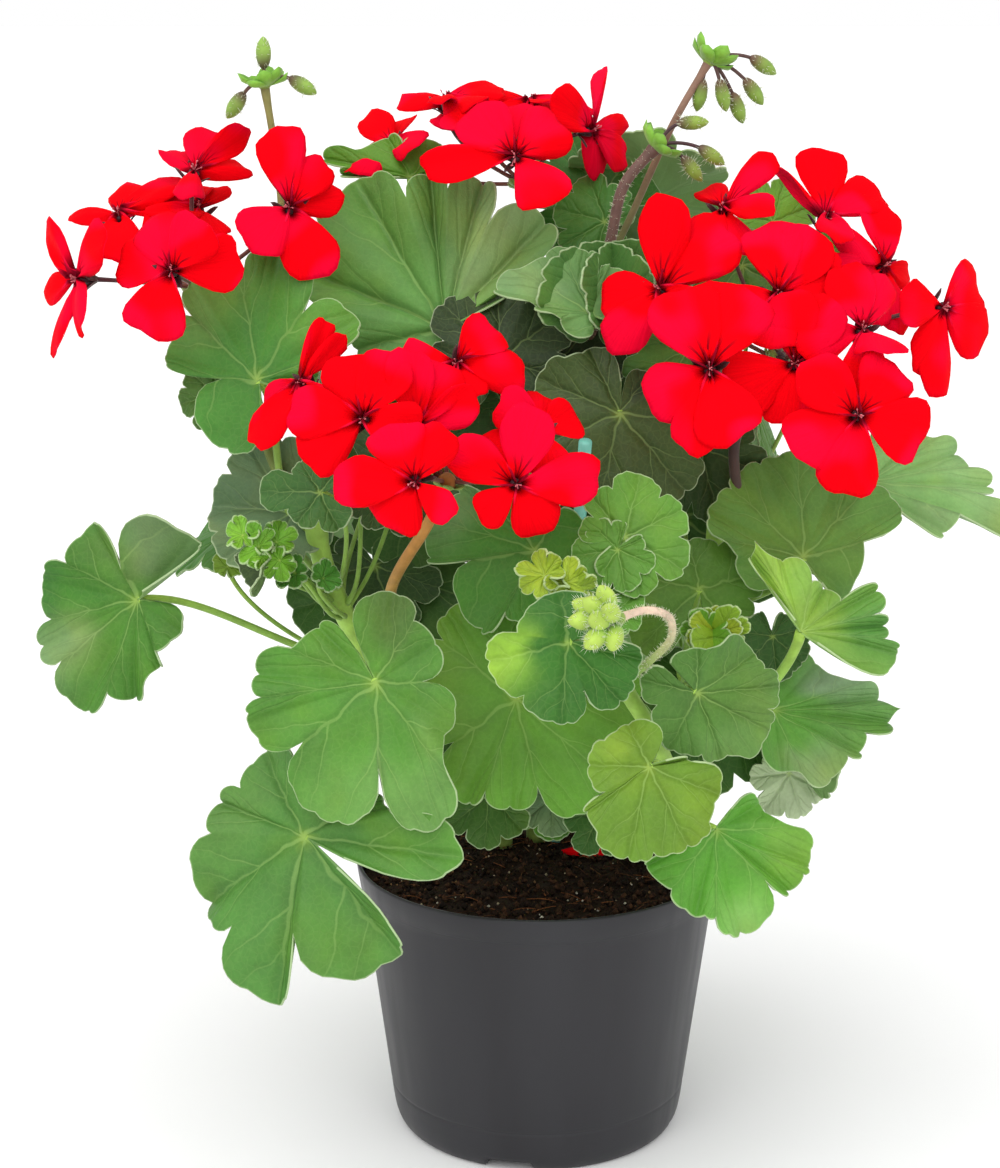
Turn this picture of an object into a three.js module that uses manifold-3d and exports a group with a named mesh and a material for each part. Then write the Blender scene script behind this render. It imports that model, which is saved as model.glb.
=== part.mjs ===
// Potted pelargonium: a free-flowering red geranium in a plain 12 cm nursery pot.
// Millimetres, +Z up. The origin is on the ground at the middle of the pot, and the front is -Y.
// Every leaf, floret, stem, flower stalk and bud cluster is a solid of its own, seated with a small gap.
import * as THREE from 'three';
import { mergeVertices } from 'three/addons/utils/BufferGeometryUtils.js';
import Module from 'manifold-3d';

const { PI, abs, cos, sin } = Math;
const wasm = await Module();
wasm.setup();

// Pot
const POT_HEIGHT = 91;
const POT_TOP_RADIUS = 60;
const POT_WALL_FOOT_RADIUS = 47.4; // where the straight wall would meet the ground
const POT_FOOT_RADIUS = 44.5;
const POT_WALL = 1.3;
const FOOT_RING_WIDTH = 2.6;
const FLOOR_LEVEL = 3.6;
const COLLAR_HEIGHT = 8.5;
const COLLAR_STEP = 0.6;
const NOTCH_WIDTH = 17;
const NOTCH_HEIGHT = 3.4;
const NOTCH_BEARING = -12; // degrees from the front of the pot
const NOTCH_COUNT = 4;
const DRAIN_RADIUS = 5;
const DRAIN_RING_RADIUS = 30;
const DRAIN_COUNT = 6;
const POT_SIDES = 36;

// Soil
const SOIL_DEPTH_BELOW_RIM = 4.5;
const SOIL_CROWN = 0.6;
const SEAT_GAP = 0.35; // left between pieces that touch

// Leaf
const LEAF_THICKNESS = 1;
const LOBE_COUNT = 7;
const LOBE_ANGLE = 50; // degrees from one vein to the next
const LOBE_ROUNDNESS = 0.6; // below 1 the lobes are round and the gaps between them sharp
const BASE_SHORTENING = 0.42; // how much shorter the leaf is behind its stalk
const SLIT_HALF_ANGLE = 5; // degrees of the open notch behind the stalk
const PETIOLE_RADIUS = 1.3;

// Flower
const PETAL_LENGTH = 24;
const PETAL_THICKNESS = 0.8;
const PETAL_NOTCH = 0.5; // how far in the gaps between petals reach
const PETAL_ROUNDNESS = 0.35;
const PETAL_COUNT = 5;
const CALYX_LENGTH = 6;
const CALYX_RADIUS = 1.7;
const CALYX_SIDES = 5;
const PEDICEL_RADIUS = 0.8;
const PEDUNCLE_RADIUS = 1.8;
const UMBEL_HEAD_RADIUS = 3;

// Stems: the radius and the points each one passes above its upright foot
const STEM_FOOT = POT_HEIGHT - SOIL_DEPTH_BELOW_RIM + SOIL_CROWN + SEAT_GAP;
const STEM_FOOT_RISE = 4;
const STEM_STEPS = 12;
const FORK_LEAN = 0.6; // how far a stalk leans along its stem where it leaves it
const STEMS = {
  left: {
    radius: 3.5,
    points: [[-12, 21, 95], [-24, 6, 115], [-44, -16, 145], [-58, -30, 175], [-67, -38, 200], [-70, -38, 225]],
  },
  center: {
    radius: 3.4,
    points: [[0, 27, 96], [-3, 16, 125], [-4, 6, 165], [-2, 2, 205], [0, 6, 245], [0, 12, 280]],
  },
  right: {
    radius: 3.4,
    points: [[18, 23, 95], [32, 10, 120], [46, -4, 150], [54, -12, 185], [56, -16, 215]],
  },
  front: {
    radius: 2.6,
    points: [[33, 7, 94], [40, -34, 112], [40, -66, 135], [32, -82, 158], [20, -86, 180], [16, -82, 200]],
  },
};

// Leaves: hub of the blade, radius, facing (bearing from the front, height above level), spin of the
// tip from straight downhill, shape (bowl, fold, tip bend), depth of the gaps between the lobes, the
// stem it grows from and how far up that stem, from 0 to 1
const LEAVES = [
  { name: 'far_left', hub: [-124, -40, 187], radius: 36, facing: [-20, 25], spin: -45, shape: [0, 0, 0.1], lobed: 0.2, stem: 'left', at: 0.62 },
  { name: 'low_left', hub: [-68, -98, 132], radius: 48, facing: [-30, 25], spin: -7, shape: [0, 0, 0.1], lobed: 0.28, stem: 'left', at: 0.3 },
  { name: 'front_left', hub: [-50, -98, 178], radius: 45, facing: [-8, 28], spin: 22, shape: [0, 0, 0.1], lobed: 0.22, stem: 'left', at: 0.5 },
  { name: 'front_center', hub: [2, -60, 170], radius: 44, facing: [0, 36], spin: -10, shape: [0, 0, 0.1], lobed: 0.15, stem: 'center', at: 0.35 },
  { name: 'front_small', hub: [5, -118, 197], radius: 26, facing: [5, 25], spin: -8, shape: [0.1, 0, 0], lobed: 0.15, stem: 'front', at: 0.85 },
  { name: 'front_light', hub: [31, -114, 154], radius: 28, facing: [0, 25], spin: -28, shape: [0.05, 0, 0.1], lobed: 0.12, stem: 'front', at: 0.6 },
  { name: 'front_right', hub: [48, -92, 175], radius: 27, facing: [25, 15], spin: 10, shape: [0, 0, 0.15], lobed: 0.08, stem: 'front', at: 0.7 },
  { name: 'low_right', hub: [50, -84, 129], radius: 32, facing: [20, 40], spin: 25, shape: [-0.25, 0, 0.2], lobed: 0.2, stem: 'front', at: 0.3 },
  { name: 'right', hub: [72, -48, 162], radius: 42, facing: [30, 62], spin: 50, shape: [0, 0, 0.15], lobed: 0.2, stem: 'right', at: 0.4 },
  { name: 'right_under', hub: [76, -12, 140], radius: 30, facing: [130, 15], spin: 0, shape: [0, 0, 0], lobed: 0.2, stem: 'right', at: 0.25 },
  { name: 'right_upright', hub: [77, -64, 184], radius: 32, facing: [10, 20], spin: 140, shape: [0, 0.35, 0], lobed: 0.2, stem: 'right', at: 0.72 },
  { name: 'right_high', hub: [84, -34, 209], radius: 36, facing: [10, 35], spin: 0, shape: [0, 0, 0.1], lobed: 0.2, stem: 'right', at: 0.75 },
  { name: 'far_right', hub: [111, 11, 227], radius: 46, facing: [10, 70], spin: 75, shape: [0, 0, 0.1], lobed: 0.2, stem: 'right', at: 0.85 },
  { name: 'inner_left', hub: [-2, -64, 212], radius: 35, facing: [-10, 20], spin: -65, shape: [0, 0, 0.05], lobed: 0.25, stem: 'center', at: 0.55 },
  { name: 'top_left', hub: [-30, -5, 267], radius: 50, facing: [-5, 15], spin: 170, shape: [0, 0, 0.05], lobed: 0.15, stem: 'center', at: 0.8 },
  { name: 'high_left', hub: [-84, -34, 257], radius: 40, facing: [-10, 25], spin: -175, shape: [0, 0, 0.05], lobed: 0.15, stem: 'left', at: 0.92 },
  { name: 'top_small', hub: [-42, 20, 316], radius: 24, facing: [0, 70], spin: -140, shape: [0, 0, 0.1], lobed: 0.2, stem: 'center', at: 0.95 },
  { name: 'top_center', hub: [16, -24, 272], radius: 35, facing: [0, 45], spin: -110, shape: [0, 0.3, 0], lobed: 0.15, stem: 'center', at: 0.9 },
  { name: 'inner_center', hub: [24, -30, 244], radius: 38, facing: [5, 30], spin: 0, shape: [0, 0, 0], lobed: 0.12, stem: 'center', at: 0.7 },
  { name: 'inner_right', hub: [48, -34, 200], radius: 26, facing: [5, 25], spin: 20, shape: [0, 0, 0], lobed: 0.12, stem: 'right', at: 0.6 },
  { name: 'low_center', hub: [4, -24, 122], radius: 18, facing: [5, 35], spin: 0, shape: [0, 0, 0], lobed: 0.12, stem: 'center', at: 0.1 },
  { name: 'top_back', hub: [38, 57, 302], radius: 34, facing: [170, 40], spin: 180, shape: [0, 0, 0.05], lobed: 0.15, stem: 'center', at: 0.86 },
  { name: 'back_left', hub: [-62, 60, 210], radius: 42, facing: [-140, 35], spin: 0, shape: [0, 0, 0.1], lobed: 0.2, stem: 'center', at: 0.6 },
  { name: 'back', hub: [0, 103, 190], radius: 46, facing: [178, 50], spin: 0, shape: [0, 0, 0.1], lobed: 0.2, stem: 'center', at: 0.5 },
  { name: 'back_right', hub: [75, 60, 200], radius: 42, facing: [135, 35], spin: 0, shape: [0, 0, 0.1], lobed: 0.2, stem: 'right', at: 0.7 },
  { name: 'back_low_left', hub: [-60, 85, 140], radius: 40, facing: [-150, 30], spin: 0, shape: [0, 0, 0.1], lobed: 0.2, stem: 'center', at: 0.25 },
  { name: 'back_low_right', hub: [45, 95, 135], radius: 40, facing: [155, 30], spin: 0, shape: [0, 0, 0.1], lobed: 0.2, stem: 'right', at: 0.2 },
  { name: 'side_left', hub: [-94, 0, 205], radius: 28, facing: [-70, 60], spin: 0, shape: [0, 0, 0.1], lobed: 0.2, stem: 'left', at: 0.8 },
];

// Flower heads: where the stalk leaves its stem, the points it passes, and the florets on it.
// A floret has the place of its throat, a facing and a spin of its lowest petal
const UMBELS = [
  {
    name: 'left', stem: 'left', at: 0.97, via: [[-90, -22, 250]], head: [-106, -8, 280],
    florets: [
      { throat: [-141, -28, 285], facing: [-70, 0], spin: 0 },
      { throat: [-133, 8, 302], facing: [-20, 78], spin: 0 },
      { throat: [-106, 4, 317], facing: [10, 68], spin: 0 },
      { throat: [-110, -43, 289], facing: [-5, 12], spin: -15 },
      { throat: [-76, -22, 306], facing: [18, 30], spin: -5 },
    ],
  },
  {
    name: 'top', stem: 'center', at: 0.98, via: [[-2, 16, 295]], head: [-5, 20, 310],
    florets: [
      { throat: [-26, 22, 337], facing: [0, 82], spin: 0 },
      { throat: [-8, -14, 321], facing: [-5, 18], spin: 20 },
      { throat: [17, 15, 327], facing: [60, 15], spin: 0 },
    ],
  },
  {
    name: 'center', stem: 'left', at: 0.6, via: [[-45, -60, 196], [-33, -75, 220]], head: [-28, -78, 232],
    florets: [
      { throat: [-71, -58, 258], facing: [-50, 20], spin: 0 },
      { throat: [-51, -92, 253], facing: [-12, 15], spin: 10 },
      { throat: [-25, -72, 266], facing: [15, 35], spin: 30 },
      { throat: [-36, -109, 238], facing: [-5, -5], spin: 20 },
      { throat: [-8, -97, 235], facing: [12, 8], spin: 25 },
    ],
  },
  {
    name: 'right', stem: 'right', at: 0.97, via: [[60, -24, 235]], head: [72, -26, 260],
    florets: [
      { throat: [56, -10, 305], facing: [-15, 55], spin: 0 },
      { throat: [90, 5, 301], facing: [25, 50], spin: 0 },
      { throat: [122, -22, 274], facing: [58, 10], spin: 0 },
      { throat: [48, -66, 263], facing: [-8, 15], spin: 10 },
      { throat: [91, -70, 250], facing: [10, 8], spin: 20 },
    ],
  },
];

// Bud clusters: where the stalk leaves its stem, the points it passes, and the buds at its end
const BUD_CLUSTERS = [
  {
    name: 'left', stem: 'left', at: 0.9, via: [[-80, 0, 260], [-82, 10, 310]], head: [-86, 8, 342],
    buds: [[-95, 8, 335], [-74, 8, 341], [-86, 8, 351]], budSize: [2.2, 4.5],
  },
  {
    name: 'right', stem: 'center', at: 0.93, via: [[24, 14, 290], [42, 10, 330]], head: [53, 12, 349],
    buds: [[50, 12, 338], [57, 10, 338], [62, 13, 334], [67, 14, 339], [70, 16, 347]], budSize: [2.2, 5],
  },
  {
    name: 'middle', stem: 'center', at: 0.84, via: [[22, 0, 294], [26, 0, 311]], head: [36, 0, 323],
    buds: [[47, 0, 330], [53, 0, 320], [47, 0, 316]], budSize: [2.2, 5],
  },
  {
    name: 'front', stem: 'front', at: 0.84, via: [[28, -100, 184], [35, -107, 193], [35, -114, 202], [28, -122, 206]], head: [19, -127, 203],
    buds: [[12, -131, 208], [9, -129, 203], [13, -134, 199], [14, -125, 198]], budSize: [3, 4],
  },
];

// Finishes
const LEAF_GREEN = new THREE.MeshStandardMaterial({ color: '#3f7a33', roughness: 0.6, side: THREE.DoubleSide });
const STEM_GREEN = new THREE.MeshStandardMaterial({ color: '#86a748', roughness: 0.7 });
const STALK_BROWN = new THREE.MeshStandardMaterial({ color: '#7c6a3c', roughness: 0.7 });
const BUD_GREEN = new THREE.MeshStandardMaterial({ color: '#6f9a3c', roughness: 0.7 });
const PETAL_RED = new THREE.MeshStandardMaterial({ color: '#e80f1a', roughness: 0.6 });
const POT_GREY = new THREE.MeshStandardMaterial({ color: '#3b3a3f', roughness: 0.55 });
const SOIL_BROWN = new THREE.MeshStandardMaterial({ color: '#2a1c14', roughness: 1 });

const radians = (degrees) => (degrees * PI) / 180;
const point = ([x, y, z]) => new THREE.Vector3(x, y, z);

// A three.js geometry as a manifold solid, and back.
function solidOf(geometry) {
  const bare = geometry.clone();
  bare.deleteAttribute('normal');
  bare.deleteAttribute('uv');
  const merged = mergeVertices(bare);
  return new wasm.Manifold(new wasm.Mesh({
    numProp: 3,
    vertProperties: merged.attributes.position.array,
    triVerts: new Uint32Array(merged.index.array),
  }));
}

function geometryOf(solid) {
  const { vertProperties, triVerts } = solid.getMesh();
  const geometry = new THREE.BufferGeometry();
  geometry.setAttribute('position', new THREE.BufferAttribute(vertProperties, 3));
  geometry.setIndex(new THREE.BufferAttribute(triVerts, 1));
  geometry.computeVertexNormals();
  return geometry;
}

function join(solids) {
  return solids.reduce((whole, next) => whole.add(next));
}

// A round bar with flat ends along a curve.
function bar(curve, radius, sides, steps) {
  const corners = Array.from({ length: sides }, (_, i) => {
    const angle = (2 * PI * i) / sides;
    return new THREE.Vector2(radius * cos(angle), radius * sin(angle));
  });
  return new THREE.ExtrudeGeometry(new THREE.Shape(corners), { steps, bevelEnabled: false, extrudePath: curve });
}

// A body of revolution about Z from [radius, height] pairs that start and end on the axis.
function turned(profile, sides) {
  const lathe = new THREE.LatheGeometry(profile.map(([r, z]) => new THREE.Vector2(r, z)), sides);
  return lathe.rotateX(PI / 2);
}

// The axes of a blade or flower: the facing direction, the way its tip points, and the side between them.
function axesOf([bearing, height], spin) {
  const [b, h, s] = [bearing, height, spin].map(radians);
  const facing = new THREE.Vector3(sin(b) * cos(h), -cos(b) * cos(h), sin(h));
  const downhill = new THREE.Vector3(sin(b) * sin(h), -cos(b) * sin(h), -cos(h));
  const across = new THREE.Vector3().crossVectors(facing, downhill);
  const tip = downhill.multiplyScalar(cos(s)).addScaledVector(across, sin(s));
  return { facing, tip, side: new THREE.Vector3().crossVectors(facing, tip) };
}

function placement(position, axes) {
  return new THREE.Matrix4().makeBasis(axes.tip, axes.side, axes.facing).setPosition(position);
}

// A thin closed plate: rings of points fanned about a middle point, with the same sheet below it.
// A full ring closes on itself; an open one, such as a leaf with its notch, gets two side walls.
function plate(middle, rings, thickness, full) {
  const count = rings[0].length;
  const top = [middle, ...rings.flat()];
  const lower = top.length;
  const positions = [...top, ...top.map(([x, y, z]) => [x, y, z - thickness])].flat();
  const at = (ring, i) => 1 + ring * count + (i % count);
  const faces = [];
  const both = (a, b, c) => faces.push(a, b, c, lower + c, lower + b, lower + a);
  const wall = (a, b) => faces.push(a, lower + a, lower + b, a, lower + b, b);
  const last = rings.length - 1;
  for (let i = 0; i < (full ? count : count - 1); i++) {
    both(0, at(0, i), at(0, i + 1));
    for (let ring = 0; ring < last; ring++) {
      both(at(ring, i), at(ring + 1, i), at(ring + 1, i + 1));
      both(at(ring, i), at(ring + 1, i + 1), at(ring, i + 1));
    }
    wall(at(last, i), at(last, i + 1));
  }
  if (!full) {
    const start = [0, ...rings.map((_, ring) => at(ring, 0))];
    const end = [0, ...rings.map((_, ring) => at(ring, count - 1))];
    for (let k = 0; k < last + 1; k++) {
      wall(start[k], start[k + 1]);
      wall(end[k + 1], end[k]);
    }
  }
  const geometry = new THREE.BufferGeometry();
  geometry.setAttribute('position', new THREE.Float32BufferAttribute(positions, 3));
  geometry.setIndex(faces);
  return geometry;
}

// The edge of a leaf at an angle from its tip, as a share of its radius: a heart with round lobes.
function leafEdge(angle, lobeDepth) {
  const heart = 1 - BASE_SHORTENING * ((1 - cos(angle)) / 2) ** 1.5;
  const lobe = 1 - lobeDepth * (1 - abs(cos((PI * angle) / radians(LOBE_ANGLE))) ** LOBE_ROUNDNESS);
  return heart * lobe;
}

// The blade: height grows as a bowl with the distance, as a fold with the side, and bends down to the tip.
function leafBlade(radius, [bowl, fold, bend], lobed) {
  const halfTurn = PI - radians(SLIT_HALF_ANGLE);
  const steps = 3 * LOBE_COUNT;
  const ring = (share) => Array.from({ length: steps + 1 }, (_, i) => {
    const angle = -halfTurn + (2 * halfTurn * i) / steps;
    const reach = share * leafEdge(angle, lobed * share);
    const x = reach * cos(angle);
    const y = reach * sin(angle);
    const height = bowl * reach ** 2 + fold * abs(y) - bend * Math.max(x, 0) ** 2;
    return [radius * x, radius * y, radius * height];
  });
  return plate([0, 0, 0], [ring(0.5), ring(1)], LEAF_THICKNESS, false);
}

// A stem starts straight up from the soil and then passes its points.
function stemCurve(name) {
  const { points } = STEMS[name];
  const [x, y] = points[0];
  const foot = [[x, y, STEM_FOOT], [x, y, STEM_FOOT + STEM_FOOT_RISE]];
  return new THREE.CatmullRomCurve3([...foot, ...points].map(point));
}

// Where a stalk leaves a stem towards a target: a point just off the stem's skin, and its first direction.
function fork(stem, share, target, stalkRadius) {
  const step = Math.floor(share * STEM_STEPS);
  const [from, to] = stemCurve(stem).getSpacedPoints(STEM_STEPS).slice(step, step + 2);
  const axis = from.clone().lerp(to, share * STEM_STEPS - step);
  const along = to.clone().sub(from).normalize();
  const out = target.clone().sub(axis);
  out.addScaledVector(along, -out.dot(along)).normalize();
  const leaving = out.clone().addScaledVector(along, FORK_LEAN).normalize();
  const clearance = STEMS[stem].radius + SEAT_GAP + stalkRadius * Math.sqrt(1 - leaving.dot(out) ** 2);
  return { start: axis.addScaledVector(out, clearance), leaving };
}

// A leaf: the blade joined to the stalk that runs from under its hub back to the stem.
function leaf({ name, hub, radius, facing, spin, shape, lobed, stem, at }) {
  const axes = axesOf(facing, spin);
  const place = placement(point(hub), axes);
  const toLocal = place.clone().invert();
  const { start, leaving } = fork(stem, at, point(hub), PETIOLE_RADIUS);
  const end = point(hub).addScaledVector(axes.facing, -PETIOLE_RADIUS);
  const reach = start.distanceTo(end);
  const nearHub = end.clone().addScaledVector(axes.facing, -0.25 * reach).addScaledVector(axes.tip, -0.2 * reach);
  const nearStem = start.clone().addScaledVector(leaving, 0.3 * reach);
  const route = [end, nearHub, nearStem, start].map((p) => p.clone().applyMatrix4(toLocal));
  const petiole = bar(new THREE.CubicBezierCurve3(...route), PETIOLE_RADIUS, 5, 5);
  const mesh = new THREE.Mesh(
    geometryOf(join([solidOf(leafBlade(radius, shape, lobed)), solidOf(petiole)])), LEAF_GREEN);
  mesh.name = `leaf_${name}`;
  mesh.applyMatrix4(place);
  return mesh;
}

// A floret: five petals as one flat rosette about the throat, and the calyx tube behind it.
function floretSolid() {
  const count = 4 * PETAL_COUNT;
  const outline = Array.from({ length: count }, (_, i) => {
    const angle = (2 * PI * i) / count;
    const lobe = abs(cos((PETAL_COUNT * angle) / 2)) ** PETAL_ROUNDNESS;
    const reach = PETAL_LENGTH * (PETAL_NOTCH + (1 - PETAL_NOTCH) * lobe);
    return [reach * cos(angle), reach * sin(angle), 0];
  });
  const petals = plate([0, 0, 0], [outline], PETAL_THICKNESS, true);
  const calyx = new THREE.CylinderGeometry(CALYX_RADIUS, 0.6 * CALYX_RADIUS, CALYX_LENGTH, CALYX_SIDES);
  calyx.rotateX(PI / 2).translate(0, 0, -CALYX_LENGTH / 2);
  return solidOf(petals).add(solidOf(calyx));
}

function floret(name, { throat, facing, spin }) {
  const mesh = new THREE.Mesh(geometryOf(floretSolid()), PETAL_RED);
  mesh.name = name;
  mesh.applyMatrix4(placement(point(throat), axesOf(facing, spin)));
  return mesh;
}

// The long stalk of a flower head or bud cluster, from the stem through its points to its head.
function peduncle(stem, at, via, head) {
  const first = point(via[0]);
  const { start, leaving } = fork(stem, at, first, PEDUNCLE_RADIUS);
  const lead = start.clone().addScaledVector(leaving, 0.25 * start.distanceTo(first));
  const route = new THREE.CatmullRomCurve3([start, lead, ...via.map(point), point(head)]);
  return solidOf(bar(route, PEDUNCLE_RADIUS, 6, 7));
}

function knob(center, radius) {
  return solidOf(new THREE.SphereGeometry(radius, 6, 3).translate(...center));
}

function umbelStalk({ name, stem, at, via, head, florets }) {
  const pedicels = florets.map(({ throat, facing, spin }) => {
    const { facing: out } = axesOf(facing, spin);
    const tip = point(throat).addScaledVector(out, -(CALYX_LENGTH + SEAT_GAP));
    const reach = tip.distanceTo(point(head));
    const control = tip.clone().addScaledVector(out, -0.4 * reach);
    return solidOf(bar(new THREE.QuadraticBezierCurve3(point(head), control, tip), PEDICEL_RADIUS, 4, 4));
  });
  const solid = join([peduncle(stem, at, via, head), knob(head, UMBEL_HEAD_RADIUS), ...pedicels]);
  const mesh = new THREE.Mesh(geometryOf(solid), STALK_BROWN);
  mesh.name = `flower_stalk_${name}`;
  return mesh;
}

// A bud: a long ball whose axis runs away from the head of its cluster, on a short stalk.
function bud(head, center, [radius, halfLength]) {
  const out = point(center).sub(point(head)).normalize();
  const turn = new THREE.Quaternion().setFromUnitVectors(new THREE.Vector3(0, 0, 1), out);
  const ball = new THREE.SphereGeometry(1, 6, 4).rotateX(PI / 2).scale(radius, radius, halfLength);
  ball.applyQuaternion(turn).translate(...center);
  const stalk = bar(new THREE.LineCurve3(point(head), point(center)), PEDICEL_RADIUS, 4, 1);
  return solidOf(ball).add(solidOf(stalk));
}

function budCluster({ name, stem, at, via, head, buds, budSize }) {
  const solid = join([
    peduncle(stem, at, via, head), knob(head, UMBEL_HEAD_RADIUS),
    ...buds.map((center) => bud(head, center, budSize)),
  ]);
  const mesh = new THREE.Mesh(geometryOf(solid), BUD_GREEN);
  mesh.name = `bud_cluster_${name}`;
  return mesh;
}

function stem([name, { radius }]) {
  const mesh = new THREE.Mesh(bar(stemCurve(name), radius, 8, STEM_STEPS), STEM_GREEN);
  mesh.name = `stem_${name}`;
  return mesh;
}

function wallRadius(height) {
  return POT_WALL_FOOT_RADIUS + ((POT_TOP_RADIUS - COLLAR_STEP - POT_WALL_FOOT_RADIUS) * height) / POT_HEIGHT;
}

// The pot: a thin tapered shell with a collar, a rounded foot, drain holes and notches under its foot ring.
function pot() {
  const collarFoot = POT_HEIGHT - COLLAR_HEIGHT;
  const innerFoot = FLOOR_LEVEL + POT_WALL;
  const shell = solidOf(turned([
    [0, FLOOR_LEVEL],
    [POT_FOOT_RADIUS - FOOT_RING_WIDTH - 1, FLOOR_LEVEL],
    [POT_FOOT_RADIUS - FOOT_RING_WIDTH, 0],
    [POT_FOOT_RADIUS, 0],
    [POT_FOOT_RADIUS + 2.1, 2],
    [POT_FOOT_RADIUS + 3.3, 5],
    [wallRadius(9), 9],
    [wallRadius(collarFoot), collarFoot],
    [wallRadius(collarFoot) + COLLAR_STEP, collarFoot + COLLAR_STEP],
    [POT_TOP_RADIUS, POT_HEIGHT - 0.4],
    [POT_TOP_RADIUS - 0.4, POT_HEIGHT],
    [POT_TOP_RADIUS - POT_WALL, POT_HEIGHT],
    [wallRadius(collarFoot) - POT_WALL + COLLAR_STEP, collarFoot],
    [wallRadius(9) - POT_WALL, 9],
    [POT_FOOT_RADIUS, innerFoot],
    [0, innerFoot],
  ], POT_SIDES));
  const notchOutline = new THREE.Shape([
    [-NOTCH_WIDTH / 2, -1], [NOTCH_WIDTH / 2, -1], [NOTCH_WIDTH / 2 - 2, NOTCH_HEIGHT], [-NOTCH_WIDTH / 2 + 2, NOTCH_HEIGHT],
  ].map(([x, z]) => new THREE.Vector2(x, z)));
  const cutters = [];
  for (let i = 0; i < NOTCH_COUNT; i++) {
    const notch = new THREE.ExtrudeGeometry(notchOutline, { depth: POT_FOOT_RADIUS, bevelEnabled: false });
    notch.rotateX(PI / 2).translate(0, -POT_FOOT_RADIUS / 2, 0);
    cutters.push(solidOf(notch.rotateZ(radians(NOTCH_BEARING) + (2 * PI * i) / NOTCH_COUNT)));
  }
  for (let i = 0; i < DRAIN_COUNT; i++) {
    const drain = new THREE.CylinderGeometry(DRAIN_RADIUS, DRAIN_RADIUS, 4 * POT_WALL, 12);
    drain.rotateX(PI / 2).translate(0, DRAIN_RING_RADIUS, FLOOR_LEVEL);
    cutters.push(solidOf(drain.rotateZ((2 * PI * i) / DRAIN_COUNT)));
  }
  const mesh = new THREE.Mesh(geometryOf(cutters.reduce((rest, cutter) => rest.subtract(cutter), shell)), POT_GREY);
  mesh.name = 'pot';
  return mesh;
}

function soil() {
  const top = POT_HEIGHT - SOIL_DEPTH_BELOW_RIM;
  const floor = FLOOR_LEVEL + POT_WALL + SEAT_GAP;
  const inside = (height) => wallRadius(height) - POT_WALL - SEAT_GAP;
  const mesh = new THREE.Mesh(turned([
    [0, floor],
    [POT_FOOT_RADIUS - 1, floor],
    [inside(9), 9.2],
    [inside(top), top],
    [0.6 * inside(top), top + SOIL_CROWN],
    [0, top + SOIL_CROWN],
  ], POT_SIDES), SOIL_BROWN);
  mesh.name = 'soil';
  return mesh;
}

const plant = new THREE.Group();
plant.add(pot(), soil());
plant.add(...Object.entries(STEMS).map(stem));
plant.add(...LEAVES.map(leaf));
for (const umbel of UMBELS) {
  plant.add(umbelStalk(umbel));
  umbel.florets.forEach((row, i) => plant.add(floret(`floret_${umbel.name}_${i + 1}`, row)));
}
plant.add(...BUD_CLUSTERS.map(budCluster));

export default plant;
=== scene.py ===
"""Potted pelargonium: a red-flowered geranium in a plain nursery pot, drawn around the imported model.

The tables are in millimetres in the model's frame (+Z up, the front is -Y); meshes are written in metres.
"""

import math

import bpy
import numpy as np
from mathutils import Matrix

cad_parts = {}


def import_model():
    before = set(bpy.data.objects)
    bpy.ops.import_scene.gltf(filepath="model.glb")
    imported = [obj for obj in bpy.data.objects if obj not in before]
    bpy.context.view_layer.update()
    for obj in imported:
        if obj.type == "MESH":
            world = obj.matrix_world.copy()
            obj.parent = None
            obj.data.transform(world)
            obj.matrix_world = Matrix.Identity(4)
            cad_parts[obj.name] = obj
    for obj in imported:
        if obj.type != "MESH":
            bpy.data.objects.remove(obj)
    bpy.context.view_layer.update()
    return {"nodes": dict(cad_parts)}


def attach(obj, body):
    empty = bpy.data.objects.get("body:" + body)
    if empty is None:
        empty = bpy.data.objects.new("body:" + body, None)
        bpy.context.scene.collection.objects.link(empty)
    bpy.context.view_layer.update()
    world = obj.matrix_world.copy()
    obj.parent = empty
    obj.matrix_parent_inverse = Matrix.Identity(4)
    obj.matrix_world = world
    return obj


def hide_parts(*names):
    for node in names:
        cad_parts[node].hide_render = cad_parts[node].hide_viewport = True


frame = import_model()

MM = 0.001
# Every random draw starts from this and the number of its piece
SEED = 12

# Pot
POT_HEIGHT = 91
POT_TOP_RADIUS = 60
POT_WALL_FOOT_RADIUS = 47.4
POT_FOOT_RADIUS = 44.5
POT_WALL = 1.3
FOOT_RING_WIDTH = 2.6
FLOOR_LEVEL = 3.6
COLLAR_HEIGHT = 8.5
COLLAR_STEP = 0.6
MOULD_LINE_HEIGHT = 14.3
MOULD_LINE_DEPTH = 0.22
WALL_START = 9
NOTCH_WIDTH = 17
NOTCH_HEIGHT = 3.4
NOTCH_BEARING = -12
NOTCH_COUNT = 4
DRAIN_RADIUS = 5
DRAIN_RING_RADIUS = 30
DRAIN_COUNT = 6
POT_COLUMNS = 192

# Soil
SOIL_TOP = 87
SOIL_FOOT = 5.3
SOIL_ROUGHNESS = 0.9
CRUMB_COUNT = 1500
CRUMB_TONES = ("#2a1b12", "#1d130d", "#3a2618", "#4a3020")
FLECK_COUNT = 240
FLECK_TONES = ("#b9a68c", "#8a6a48", "#6a4a30", "#d8d0c0")
FIBRE_COUNT = 150
FIBRE_RADIUS = 0.16
FIBRE_TONES = ("#5a3a24", "#7a4a2c", "#3c2416")

# Support cane: its foot in the soil and its top
CANE = ((6, 30, 80), (13, -45, 238))
CANE_RADIUS = 2.0

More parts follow.
